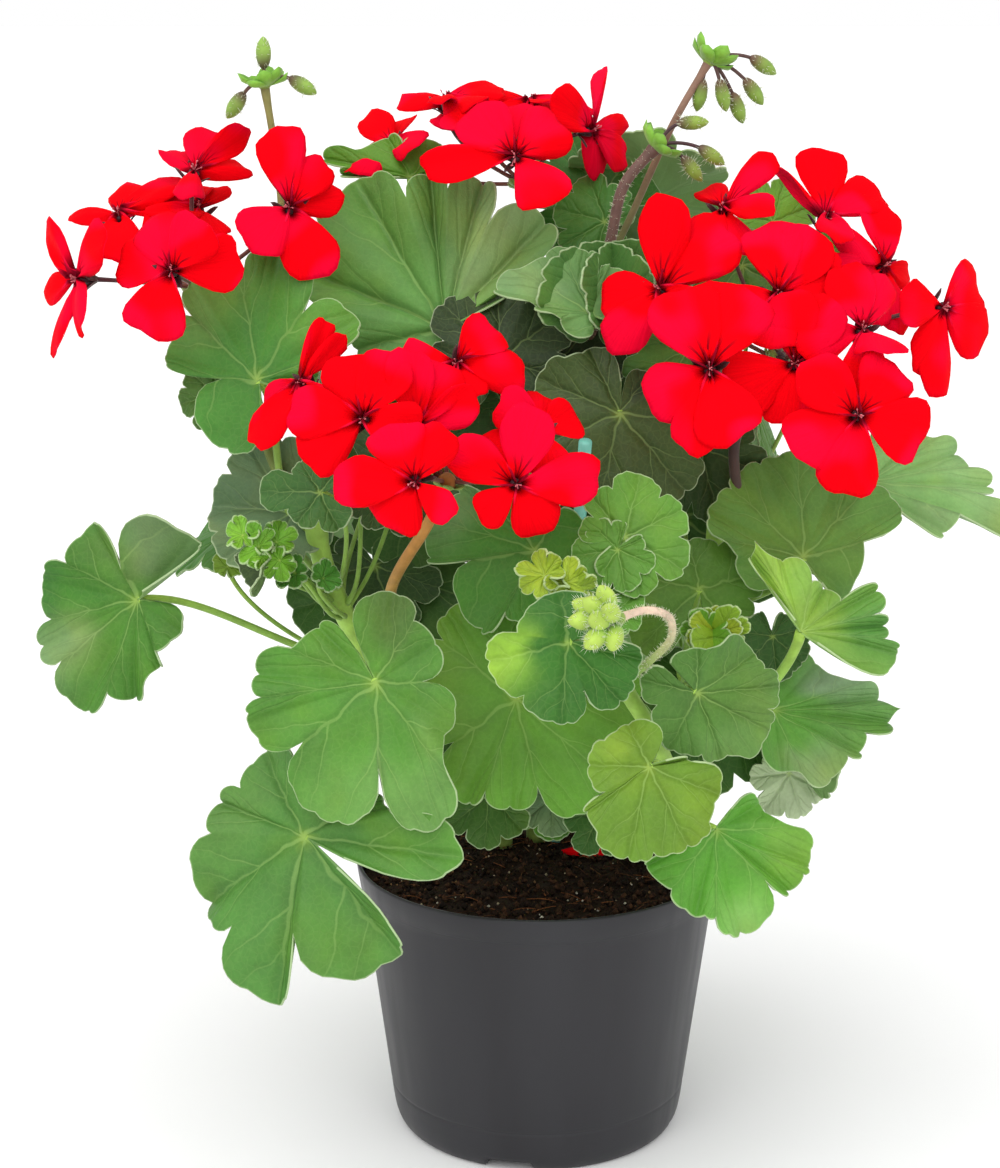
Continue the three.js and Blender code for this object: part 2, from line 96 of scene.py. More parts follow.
# Leaf: lengths are shares of its radius, other than its thickness and its stalk's radius. The spacing is
# the angle between the lobes of a leaf without an outline of its own, and the pattern angle is what each
# lobe takes up in the vein pattern. Dents are (depth, wavelength)
LEAF_THICKNESS = 0.6
LOBE_COUNT = 7
LOBE_SPACING = 50
PATTERN_ANGLE = 40
BASE_SHORTENING = 0.42
LOBE_COLUMNS = 22
LEAF_RINGS = np.concatenate([np.linspace(0, 0.9, 15), [0.94, 0.97, 0.988, 1]])
YOUNG_COLUMNS = 14
YOUNG_RINGS = np.concatenate([np.linspace(0, 0.9, 9), [0.95, 0.985, 1]])
TOOTH_ARC = 0.19
TOOTH_DEPTH = 0.045
RIM_RUFFLE = 0.014
DENTS = ((0.045, 0.7), (0.01, 0.25))
HUB_GLOW = "#a8c94e"
# The greens are written as they look; this is what their own colour keeps without the sky it reflects
LEAF_TONE = np.array([0.86, 0.82, 0.6, 1.0])
PETIOLE_RADIUS = 1.25
YOUNG_PETIOLE_RADIUS = 0.8

# Flower: the fan is half a petal's spread in radians, the fullness how wide such a fan is for a length
# of one, and the stack how far the tip of each of the five is raised, so that they lie over each other
PART_COUNT = 5
PETAL_FAN = 0.7
PETAL_FULLNESS = 0.84
PETAL_THICKNESS = 0.3
PETAL_STACK = (0, 0.6, 1.1, 0.8, 0.3)
PETAL_DROOP = 1.8
PETAL_CUP = 1.9
PETAL_WAVE = 0.8
PETAL_RUFFLE = 0.35
THROAT_DEPTH = 3.2
UPPER_PETALS_WITHIN = 62
CALYX_LENGTH = 6
CALYX_RADII = (0.75, 1.0, 1.25, 1.4, 1.5, 1.6, 1.7, 1.5)
STAMEN_RADIUS = 0.16
ANTHER_SIZE = (0.28, 0.5)
PEDICEL_RADIUS = 0.7
PEDUNCLE_RADIUS = 1.8
BUD_DROOP = 0.5
FALLEN_PETAL_PLACE = (8.0, 12.0, 88.6)

# Floor, light and camera. Each lamp has its direction, strength and softness in degrees. The camera is
# fitted to the pot's rim, foot and sides in the photograph: its place is in metres, its tilt in degrees
# from straight down
FLOOR_RINGS = (0, 1000, 10000, 60000)
LAMPS = {"key": ((-0.35, -0.8, 1.2), 2.3, 85), "fill": ((0.9, -0.6, 0.5), 0.35, 60)}
CAMERA_PLACE = (-0.0126, -0.760, 0.3633)
CAMERA_TILT = 76.69
SENSOR = 36
FOCAL_LENGTH_PIXELS = 2417.7
FRAME_HEIGHT_PIXELS = 1168

# Stems: the radius and the points each one passes above its upright foot. Where a stalk leaves a stem it
# leans along it, and its axis is its own radius and the gap off the stem's skin
STEM_FOOT = SOIL_TOP
STEM_FOOT_RISE = 4
STEM_STEPS = 12
FORK_LEAN = 0.6
SEAT_GAP = 0.35
STEMS = {
    "left": dict(radius=3.5, points=[(-12, 21, 95), (-24, 6, 115), (-44, -16, 145), (-58, -30, 175),
                                     (-67, -38, 200), (-70, -38, 225)]),
    "center": dict(radius=3.4, points=[(0, 27, 96), (-3, 16, 125), (-4, 6, 165), (-2, 2, 205),
                                       (0, 6, 245), (0, 12, 280)]),
    "right": dict(radius=3.4, points=[(18, 23, 95), (32, 10, 120), (46, -4, 150), (54, -12, 185),
                                      (56, -16, 215)]),
    "front": dict(radius=2.6, points=[(33, 7, 94), (40, -34, 112), (40, -66, 135), (32, -82, 158),
                                      (20, -86, 180), (16, -82, 200)]),
}

# Leaves. hub is where the blade meets its stalk, facing its bearing from the front and its height above
# level, spin the turn of its tip from straight downhill; its stalk leaves the stem at that share of it.
# outline is (angle, share of the radius) of a gap, the lobe after it, the next gap and so on; a leaf
# without one gets plain lobes with gaps as deep as lobed. The colour patches are (angle, width, start,
# colour, strength): some are the leaf's own tones, the others painted sheen, highlights and shade. curls
# are (angle, width, lift), and shape is (bowl, fold, bend of the tip)
LEAVES = [
    dict(name="far_left", hub=(-124, -40, 188), radius=40, facing=(-15, 12), spin=-72,
         stem="left", at=0.62, green="#4b8634", pleat=0.08,
         outline=[(-163, 0.15), (-158, 0.72), (-82, 0.27), (-72, 0.70), (-41, 0.66), (-25, 0.84),
                  (-3, 0.81), (9, 0.95), (23, 0.81), (45, 1.00), (56, 0.79), (71, 0.79), (79, 0.71),
                  (95, 0.56), (100, 0.45), (130, 0.44), (163, 0.17)],
         patches=[(-125, 40, 0.1, "#6f9068", 0.9), (-20, 25, 0.1, "#357a2c", 0.8),
                  (15, 18, 0.3, "#7fa37c", 0.8)],
         curls=[(-130, 30, 0.35)]),
    dict(name="low_left", hub=(-69, -98, 132), radius=49, facing=(-25, 22), spin=-112,
         stem="left", at=0.3, green="#528c44", pleat=0.09,
         outline=[(-173, 0.34), (-157, 0.98), (-138, 0.63), (-122, 0.55), (-53, 0.42), (-28, 0.60),
                  (-2, 0.57), (11, 0.66), (29, 0.63), (60, 0.82), (80, 0.73), (111, 1.00), (118, 0.60),
                  (163, 0.93), (173, 0.34)],
         patches=[(-145, 30, 0.3, "#63a03c", 0.5), (10, 40, 0.3, "#6b9c52", 0.5)]),
    dict(name="front_left", hub=(-48, -98, 178), radius=45, facing=(-8, 22), spin=30,
         stem="left", at=0.5, green="#54923a", pleat=0.08,
         outline=[(-176, 0.31), (-161, 0.54), (-139, 0.61), (-122, 0.80), (-110, 0.77), (-101, 0.87),
                  (-78, 0.62), (-47, 0.93), (-23, 0.58), (-6, 1.00), (11, 0.79), (33, 0.56), (63, 0.32),
                  (95, 0.47), (120, 0.48), (147, 0.59), (176, 0.30)],
         patches=[(135, 30, 0.2, "#4c6a34", 0.8), (-10, 50, 0.4, "#78a866", 0.6)]),
    dict(name="front_center", hub=(-8, -66, 164), radius=43, facing=(0, 22), spin=-48,
         stem="center", at=0.35, green="#68a540", pleat=0.06,
         outline=[(-169, 0.53), (-141, 0.72), (-118, 0.57), (-98, 0.79), (-81, 0.68), (-47, 0.80),
                  (-7, 0.55), (21, 0.81), (30, 0.71), (45, 0.78), (62, 0.66), (83, 0.94), (98, 0.87),
                  (113, 1.00), (138, 0.88), (156, 0.92), (169, 0.62)],
         patches=[(-40, 50, 0.3, "#7aa84a", 0.6)]),
    dict(name="front_small", hub=(6, -118, 195), radius=23, facing=(5, 18), spin=-82,
         stem="front", at=0.85, green="#3a762b", pleat=0.08,
         outline=[(-171, 0.39), (-94, 0.63), (-20, 0.65), (4, 1.00), (41, 0.86), (76, 0.99), (99, 0.64),
                  (123, 0.99), (140, 0.95), (158, 0.93), (171, 0.50)],
         patches=[(0, 30, 0.35, "#9cd04c", 0.95)]),
    dict(name="front_light", hub=(29, -114, 158), radius=27, facing=(0, 20), spin=-53,
         stem="front", at=0.6, green="#6a9834", pleat=0.06,
         outline=[(-159, 0.22), (-102, 0.51), (-67, 0.56), (-39, 0.64), (-7, 0.55), (-1, 0.83),
                  (15, 0.91), (40, 1.00), (56, 0.93), (79, 0.95), (100, 0.89), (122, 0.80), (146, 0.62),
                  (154, 0.42), (159, 0.20)],
         patches=[(-60, 40, 0.3, "#8db84a", 0.6)]),
    dict(name="front_right", hub=(44, -92, 173), radius=27, facing=(20, 15), spin=46,
         stem="front", at=0.7, green="#55873f", pleat=0.07,
         outline=[(-173, 0.53), (-155, 0.66), (-127, 0.51), (-78, 0.67), (-49, 0.68), (-29, 0.77),
                  (-11, 0.95), (14, 1.00), (27, 0.87), (43, 1.00), (57, 0.89), (70, 0.85), (101, 0.64),
                  (127, 0.49), (173, 0.48)],
         patches=[(0, 60, 0.4, "#6e9a5c", 0.5)]),
    dict(name="low_right", hub=(51, -84, 129), radius=32, facing=(12, 25), spin=33,
         stem="front", at=0.3, green="#62ac42", pleat=0.14, wave=0.07,
         outline=[(-106, 0.14), (-101, 0.73), (-77, 0.75), (-52, 0.82), (-40, 0.84), (-22, 1.00),
                  (7, 0.68), (14, 0.92), (26, 0.95), (34, 0.96), (55, 0.76), (82, 0.54), (106, 0.24)],
         patches=[(40, 25, 0.3, "#7fae5a", 0.5), (-20, 18, 0.5, "#9ccf86", 0.6)]),
    dict(name="right", hub=(71, -48, 155), radius=46, facing=(20, 30), spin=72,
         stem="right", at=0.4, green="#62a248", pleat=0.08, teeth=0.015,
         outline=[(-108, 0.14), (-75, 0.42), (-58, 0.50), (-34, 0.62), (-20, 0.60), (-11, 0.70),
                  (-1, 0.68), (9, 0.92), (14, 1.00), (20, 0.89), (29, 0.76), (55, 0.50), (108, 0.24)],
         patches=[(-45, 30, 0.4, "#8fb08a", 0.8), (38, 18, 0.3, "#8fae9c", 0.8)]),
    dict(name="right_under", hub=(76, -12, 140), radius=30, facing=(130, 15), spin=0,
         shape=(0, 0, 0), lobed=0.22, stem="right", at=0.25, green="#5c9a4a"),
    dict(name="right_upright", hub=(77, -64, 184), radius=37, facing=(10, 20), spin=180,
         stem="right", at=0.42, green="#86b85a", pleat=0.12, thick=1.7, stalk="#94c25a",
         outline=[(-132, 0.15), (-104, 0.86), (-97, 0.72), (-88, 0.74), (-80, 0.62), (-65, 0.76),
                  (-55, 0.42), (-34, 0.44), (-14, 0.42), (10, 0.62), (24, 0.86), (29, 0.74), (35, 0.12)],
         patches=[(20, 22, 0.1, "#9cd060", 0.9), (-85, 34, 0.3, "#5a9a50", 0.95)]),
    dict(name="right_high", hub=(81, -34, 200), radius=38, facing=(10, 25), spin=170,
         stem="right", at=0.75, green="#64984a", pleat=0.07,
         outline=[(-144, 0.27), (-126, 0.48), (-68, 0.54), (-55, 0.97), (-37, 0.82), (-18, 1.00),
                  (7, 0.93), (27, 0.90), (53, 0.85), (69, 0.87), (86, 0.74), (103, 0.57), (144, 0.22)]),
    dict(name="far_right", hub=(107, 11, 215), radius=61, facing=(15, 30), spin=70,
         stem="right", at=0.85, green="#8fc884", pleat=0.06,
         outline=[(-103, 0.12), (-45, 0.15), (-31, 0.22), (-21, 0.50), (-6, 0.54), (-1, 1.00),
                  (12, 0.63), (18, 0.77), (27, 0.66), (36, 0.63), (48, 0.51), (58, 0.43), (103, 0.18)],
         patches=[(0, 60, 0.4, "#93bc8c", 0.7)]),
    dict(name="inner_left", hub=(-2, -64, 209), radius=34, facing=(-10, 18), spin=-134,
         stem="center", at=0.55, green="#4c8c36", pleat=0.06,
         outline=[(-171, 0.29), (-124, 0.50), (-74, 0.41), (-42, 0.63), (0, 0.61), (10, 0.90),
                  (29, 1.02), (50, 1.00), (55, 0.61), (102, 0.87), (111, 0.63), (133, 0.66), (171, 0.32)],
         patches=[(20, 25, 0.5, "#7fa37c", 0.6)]),
    dict(name="top_left", hub=(-30, -5, 267), radius=56, facing=(-3, 12), spin=-130,
         stem="center", at=0.8, green="#68a25a", pleat=0.13,
         outline=[(-115, 0.17), (-110, 0.40), (-105, 0.65), (-93, 0.85), (-73, 0.65), (-64, 0.87),
                  (-51, 0.81), (-44, 0.89), (-33, 0.80), (-18, 1.00), (1, 0.95), (18, 0.85), (32, 0.64),
                  (54, 0.53), (115, 0.13)],
         patches=[(-77, 24, 0.05, "#8fb383", 1.0), (-22, 14, 0.3, "#6a9a4a", 0.6),
                  (-45, 14, 0.3, "#42692f", 0.6)]),
    dict(name="high_left", hub=(-86, -34, 255), radius=41, facing=(-10, 15), spin=-135,
         stem="left", at=0.92, green="#4a8c3a", pleat=0.09,
         outline=[(-151, 0.13), (-131, 0.48), (-115, 0.65), (-103, 0.87), (-77, 0.62), (-50, 1.00),
                  (-34, 0.86), (-8, 0.92), (3, 0.71), (31, 0.77), (45, 0.29), (113, 0.58), (151, 0.20)],
         patches=[(-100, 30, 0.3, "#6fa84a", 0.7), (-5, 30, 0.4, "#78a35c", 0.6)]),
    dict(name="top_small", hub=(-41, 20, 312), radius=30, facing=(0, 20), spin=171,
         stem="center", at=0.95, green="#66a23a", pleat=0.08,
         outline=[(-100, 0.07), (-64, 0.22), (-49, 0.33), (-29, 0.49), (23, 0.36), (38, 0.53),
                  (72, 0.70), (85, 1.00), (90, 0.73), (95, 0.77), (100, 0.13)]),
    dict(name="top_center", hub=(15, -24, 274), radius=31, facing=(0, 25), spin=-145,
         stem="center", at=0.9, green="#67975c", pleat=0.05,
         outline=[(-156, 0.16), (-57, 0.56), (-46, 0.44), (-34, 0.67), (-12, 0.78), (1, 0.78),
                  (22, 0.94), (38, 1.00), (43, 0.77), (48, 0.56), (55, 0.47), (74, 0.31), (156, 0.19)],
         patches=[(25, 25, 0.2, "#86b083", 0.8)]),
    dict(name="inner_center", hub=(24, -30, 244), radius=32, facing=(0, 18), spin=-4,
         stem="center", at=0.7, green="#465d34", pleat=0.06,
         outline=[(-176, 0.33), (-152, 0.70), (-131, 0.79), (-110, 0.87), (-89, 0.89), (-65, 0.91),
                  (-43, 0.77), (-9, 0.83), (19, 0.73), (45, 1.00), (66, 0.90), (91, 0.89), (121, 0.63),
                  (149, 0.50), (176, 0.29)],
         patches=[(140, 30, 0.2, "#2f3f2c", 0.8)]),
    dict(name="inner_right", hub=(49, -34, 190), radius=27, facing=(5, 20), spin=171,
         stem="right", at=0.6, green="#5f913c", pleat=0.05,
         outline=[(-165, 0.82), (-134, 0.74), (-93, 0.60), (-69, 0.79), (-17, 0.58), (18, 0.60),
                  (61, 0.58), (85, 0.81), (120, 0.92), (142, 1.00), (165, 0.63)]),
    dict(name="low_center", hub=(4, -24, 122), radius=18, facing=(5, 35), spin=0,
         shape=(0, 0, 0), lobed=0.22, stem="center", at=0.1, green="#5a9a3e"),
    dict(name="top_back", hub=(38, 57, 302), radius=34, facing=(170, 40), spin=180,
         shape=(0, 0, 0.05), lobed=0.22, stem="center", at=0.86, green="#55914c"),
    dict(name="back_left", hub=(-62, 60, 210), radius=42, facing=(-140, 35), spin=0,
         lobed=0.22, stem="center", at=0.6, green="#4f8f3a"),
    dict(name="back", hub=(0, 103, 190), radius=46, facing=(178, 50), spin=0,
         lobed=0.22, stem="center", at=0.5, green="#549639"),
    dict(name="back_right", hub=(75, 60, 200), radius=42, facing=(135, 35), spin=0,
         lobed=0.22, stem="right", at=0.7, green="#4a8a36"),
    dict(name="back_low_left", hub=(-60, 85, 140), radius=40, facing=(-150, 30), spin=0,
         lobed=0.22, stem="center", at=0.25, green="#5a9a3e"),
    dict(name="back_low_right", hub=(45, 95, 135), radius=40, facing=(155, 30), spin=0,
         lobed=0.22, stem="right", at=0.2, green="#5fa03a"),
    dict(name="side_left", hub=(-94, 0, 205), radius=28, facing=(-70, 60), spin=0,
         lobed=0.22, stem="left", at=0.8, green="#4c8a3a"),
]

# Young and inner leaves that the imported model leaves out: hub, radius, facing, spin, green, share of the
# stem and any further settings as above; each stem's are one piece. LONG_LOBE is the outline of one of
# them
LONG_LOBE = [(-160, 0.5), (-125, 0.62), (-95, 0.4), (-55, 0.6), (-30, 0.55), (0, 1.0), (28, 0.6),
            (55, 0.62), (90, 0.45), (120, 0.66), (160, 0.5)]
# The darkest greens, on leaves deep inside the plant, are partly painted shade, and the grey-greens are
# partly painted sheen
YOUNG = {
    "left": [
        ((-100, -22, 249), 14, (-20, 10), -75, "#4a7838", 0.86, {}),
        ((-77, -28, 213), 27, (-10, 30), -95, "#6f9278", 0.7, dict(shape=(0, 0.45, 0), lobed=0.12)),
        ((-84, -60, 209), 8, (-20, 10), -110, "#6fb43c", 0.8, dict(wave=0.3, lobed=0.4)),
        ((-79, -58, 210), 7, (-5, 20), 170, "#76ba40", 0.8, dict(wave=0.3, lobed=0.4)),
        ((-78, -60, 205), 7, (10, 10), -40, "#68ac38", 0.78, dict(wave=0.3, lobed=0.4)),
        ((-89, -58, 212), 7, (-20, 30), -160, "#7cc044", 0.8, dict(wave=0.3, lobed=0.4)),
        ((-83, -60, 206), 6, (30, 20), 60, "#7cc044", 0.79, dict(wave=0.3, lobed=0.4)),
        ((-82, -56, 202), 9, (-60, 10), -25, "#3f5a34", 0.76, dict(shape=(0, 0.9, 0), lobed=0.02)),
        ((-65, -68, 227), 19, (-10, 15), -90, "#3f6e36", 0.8, dict(outline=LONG_LOBE)),
        ((-49, -60, 226), 13, (15, 20), 40, "#35562e", 0.76, {}),
        ((-43, -40, 222), 24, (0, 20), 150, "#35562e", 0.75, {}),
        ((-53, -2, 190), 24, (-10, 20), 20, "#33522c", 0.5, {}),
        ((-74, -52, 199), 7, (-5, 35), -90, "#4f9a3c", 0.74, dict(shape=(0, 0.5, 0))),
        ((-66, -50, 197), 6, (25, 30), 110, "#4f9a3c", 0.74, dict(shape=(0, 0.5, 0))),
        ((-97, -30, 196), 6, (-10, 20), 180, "#7fa83c", 0.6, dict(lobed=0.05)),
        ((-51, 0, 185), 38, (-5, 25), 30, "#3f6a30", 0.5, {}),
        ((-66, 26, 264), 24, (-95, 20), 0, "#4f8f3a", 0.9, {}),
        ((-62, 34, 228), 27, (-105, 25), 10, "#4a8836", 0.75, {}),
    ],
    "center": [
        ((21, 20, 298), 17, (-5, 20), -110, "#4f8f45", 0.84, {}),
        ((19, -9, 274), 21, (-10, 10), 172, "#568a4c", 0.86, dict(shape=(0, 1.1, 0), lobed=0.05)),
        ((27, -6, 275), 20, (10, 10), -172, "#5d9150", 0.86, dict(shape=(0, 1.1, 0), lobed=0.05)),
        ((20, 45, 301), 27, (0, 20), -160, "#3f7d33", 0.9, {}),
        ((8, 66, 262), 28, (175, 25), 0, "#4f9038", 0.8, {}),
        ((38, 35, 282), 22, (5, 20), 180, "#45693a", 0.8, {}),
        ((-13, -12, 258), 28, (0, 20), 175, "#34492d", 0.72, {}),
        ((6, -6, 257), 24, (5, 20), 140, "#2f422a", 0.72, {}),
        ((-22, 0, 165), 44, (0, 25), 0, "#3f6a30", 0.3, {}),
        ((20, 10, 203), 44, (0, 20), 10, "#40662f", 0.5, {}),
        ((7, 10, 252), 40, (0, 15), 0, "#3a5c2e", 0.65, {}),
        ((-35, 5, 230), 40, (-5, 20), -20, "#3c6230", 0.6, {}),
        ((7, -20, 137), 30, (0, 25), -10, "#3f6f30", 0.2, {}),
        ((-16, -45, 127), 17, (-5, 30), 0, "#44702f", 0.1, {}),
        ((4, -40, 125), 14, (0, 30), 0, "#6b8f74", 0.1, {}),
        ((18, -45, 121), 14, (5, 30), 20, "#3c6a30", 0.1, {}),
    ],
    "right": [
        ((80, -20, 126), 16, (20, 20), 10, "#c4dcc8", 0.2, {}),
        ((71, -42, 177), 14, (5, 20), 0, "#3b6632", 0.55, dict(lobed=0.03)),
        ((76, 30, 297), 16, (0, 20), 160, "#6fae3c", 0.9, {}),
        ((81, 25, 277), 18, (5, 25), 170, "#64a23c", 0.9, {}),
        ((92, 22, 282), 16, (10, 25), -150, "#5f9a3c", 0.9, {}),
        ((50, -15, 231), 24, (0, 20), 15, "#3d5c30", 0.8, {}),
        ((64, 8, 285), 22, (0, 15), 10, "#5a9248", 0.85, {}),
        ((44, -22, 262), 21, (0, 15), -15, "#5c984c", 0.8, {}),
        ((46, 5, 204), 40, (5, 25), 10, "#3f6a30", 0.6, {}),
        ((76, 24, 262), 24, (92, 20), 0, "#4f8f3a", 0.9, {}),
        ((66, 42, 232), 27, (115, 25), 10, "#4a8836", 0.78, {}),
        ((70, 8, 238), 20, (80, 25), -10, "#55963e", 0.82, {}),
        ((52, -10, 147), 34, (5, 25), 0, "#40702f", 0.3, {}),
        ((50, -70, 184), 10, (0, 10), 170, "#a3bf3c", 0.55, dict(shape=(0, 0.8, 0), lobed=0.3)),
        ((52, -70, 184), 11, (15, 10), -140, "#8db83c", 0.55, dict(shape=(0, 0.8, 0), lobed=0.3)),
        ((48, -70, 184), 9, (-15, 10), 140, "#6fae3c", 0.55, dict(shape=(0, 0.8, 0), lobed=0.3)),
    ],
    "front": [
        ((23, -84, 217), 21, (0, 25), 115, "#5f973c", 0.95, {}),
        ((21, -86, 214), 14, (-5, 25), -35, "#5c943c", 0.95, {}),
        ((0, -98, 209), 9, (-10, 20), -110, "#9cc243", 0.93, dict(wave=0.3, lobed=0.4)),
        ((6, -98, 207), 8, (5, 20), 170, "#a5ca48", 0.93, dict(wave=0.3, lobed=0.4)),
        ((8, -98, 205), 8, (15, 10), 60, "#94ba3e", 0.93, dict(wave=0.3, lobed=0.4)),
        ((19, -92, 196), 12, (5, 25), 175, "#5f9a3c", 0.9, {}),
    ],
}

# Flower heads: the points of the stalk, its head and its tones from foot to head, and for each floret
# the throat, the facing and the petals as (turn about the throat, length, width, lift, and roll where it
# is twisted)
UMBELS = [
    dict(name="left", stem="left", at=0.97, via=[(-90, -22, 250)], head=(-106, -8, 280),
         tones=("#7b8a44", "#6b4a33"), florets=[
        ((-141, -28, 285), (-65, 5),
         [(51, 22, 14, 10), (138, 22, 15, -5), (219, 22, 11, 20), (288, 21, 10, 15),
          (345, 24, 15, 15, 20)]),
        ((-133, 8, 302), (-20, 65),
         [(24, 23, 16, -5), (111, 27, 15, -5), (141, 23, 15, 10), (192, 21, 14, 0), (255, 22, 8, -5)]),
        ((-108, 4, 316), (20, 60),
         [(108, 21, 11, -5), (120, 23, 10, 15, 60), (156, 21, 13, 5), (189, 21, 10, -15),
          (342, 22, 10, 15)]),
        ((-110, -43, 289), (-5, 15),
         [(99, 22, 17, 5), (138, 20, 16, 30), (204, 19, 16, -10), (255, 20, 16, -20), (342, 21, 19, 5)]),
        ((-76, -22, 306), (12, 22),
         [(18, 23, 19, 5), (114, 19, 14, -20), (141, 19, 12, 0), (186, 25, 15, 10), (312, 20, 18, 20)]),
        ((-108, 12, 303), (0, 35),
         [(15, 20, 15, 35), (165, 21, 11, -35), (198, 21, 14, -40), (246, 20, 15, -5), (309, 20, 15, 25)]),
    ]),
    dict(name="top", stem="center", at=0.98, via=[(-2, 16, 295)], head=(-5, 20, 310),
         tones=("#6f7a40", "#5c4030"), florets=[
        ((-30, 22, 337), (-10, 60),
         [(9, 22, 10, 35), (33, 22, 12, 15), (45, 21, 12, 20), (123, 21, 13, -5), (240, 20, 12, -15)]),
        ((-8, -14, 321), (-3, 20),
         [(36, 21, 17, 15), (132, 19, 18, -5), (183, 19, 19, -20), (225, 20, 18, 0), (279, 29, 12, 0)]),
        ((17, 15, 327), (45, 10),
         [(48, 21, 15, -20), (63, 22, 12, -10), (93, 21, 9, -10), (159, 20, 10, 0, 70), (240, 21, 15, 10)]),
        ((-3, 30, 336), (10, 65),
         [(9, 23, 15, -5), (18, 21, 12, 25), (54, 22, 15, 5), (222, 21, 13, -10), (324, 21, 15, 0)]),
        ((-47, 32, 322), (-25, 40),
         [(63, 20, 13, 35), (201, 21, 13, -25), (228, 20, 12, -5), (249, 20, 10, -25), (345, 21, 11, 30)]),
        ((-18, 12, 330), (0, 40),
         [(18, 21, 14, 25), (42, 21, 13, 35), (171, 20, 12, -40), (231, 21, 13, -25), (321, 21, 12, 40)]),
    ]),
    dict(name="center", stem="left", at=0.6, via=[(-45, -60, 196), (-33, -75, 220)], head=(-28, -78, 232),
         tones=("#b09a48", "#b07c38"), florets=[
        ((-71, -58, 258), (-40, 30),
         [(60, 20, 13, 0), (132, 20, 7, 5, 75), (156, 20, 8, 10, 75), (297, 19, 12, -15),
          (339, 24, 14, 5)]),
        ((-51, -92, 253), (-10, 18),
         [(75, 17, 16, 15), (156, 20, 17, 5), (198, 18, 17, 5), (267, 21, 15, 15), (309, 21, 15, 10)]),
        ((-25, -72, 266), (10, 35),
         [(15, 14, 12, 10), (78, 20, 15, 5), (132, 18, 14, -5), (273, 17, 14, 15), (321, 21, 16, 0)]),
        ((-36, -109, 238), (-5, 5),
         [(51, 15, 10, 35), (150, 17, 13, 10), (201, 17, 17, 20), (270, 22, 15, 5), (327, 16, 16, -5)]),
        ((-8, -97, 235), (8, 8),
         [(30, 16, 15, 0), (93, 24, 15, 5), (168, 22, 16, 10), (237, 21, 14, 0), (309, 15, 11, 25)]),
        ((-36, -90, 250), (5, 10),
         [(40, 13, 11, 15), (114, 19, 12, 5), (159, 19, 19, 5), (186, 22, 14, 10), (327, 16, 14, 25)]),
        ((-1, -78, 247), (15, 25),
         [(3, 18, 14, 40), (114, 17, 14, -25), (168, 18, 16, -30), (237, 16, 14, 20), (297, 19, 14, 10)]),
    ]),
    dict(name="right", stem="right", at=0.97, via=[(60, -24, 235)], head=(72, -26, 260),
         tones=("#4c3a30", "#3c2a2a"), florets=[
        ((56, -10, 305), (-10, 40),
         [(18, 22, 15, 15), (63, 21, 11, 35), (141, 23, 10, 15), (204, 22, 11, -30), (345, 22, 15, 25)]),
        ((90, 5, 301), (20, 45),
         [(27, 22, 11, 5), (111, 22, 15, 15), (174, 23, 17, 20), (216, 24, 8, 10, 70), (339, 22, 12, 35)]),
        ((124, -18, 275), (35, 10),
         [(57, 22, 18, 0), (108, 22, 19, -5), (261, 20, 15, 5), (335, 22, 14, -5), (351, 27, 14, -5)]),
        ((48, -66, 263), (-5, 15),
         [(21, 23, 20, 10), (159, 26, 22, 10), (204, 25, 22, 10), (300, 20, 19, 5), (348, 25, 15, 5)]),
        ((91, -70, 250), (8, 10),
         [(72, 22, 19, 0), (141, 20, 17, -5), (228, 22, 17, 5), (294, 23, 18, 5), (348, 24, 18, 5)]),
        ((108, 0, 286), (25, 25),
         [(6, 22, 12, 0), (81, 21, 10, -30), (171, 21, 15, 0), (276, 22, 12, 10), (330, 22, 14, 5)]),
        ((35, -38, 283), (-20, 22),
         [(48, 21, 17, 30), (138, 28, 21, 0), (180, 27, 17, 15), (279, 20, 17, -10), (321, 23, 16, 0)]),
        ((70, -42, 282), (5, 22),
         [(111, 22, 16, 0), (147, 22, 19, 5), (183, 22, 19, 5), (294, 20, 16, 25), (354, 20, 17, 25)]),
        ((74, -54, 263), (0, 20),
         [(48, 20, 15, 50), (150, 22, 17, 0), (183, 21, 17, 5), (294, 23, 20, 15), (354, 20, 17, 10)]),
        ((95, -46, 272), (10, 25),
         [(3, 22, 15, 60), (159, 20, 15, 0), (192, 21, 16, -5), (282, 22, 15, 10), (354, 21, 15, 15)]),
    ]),
]

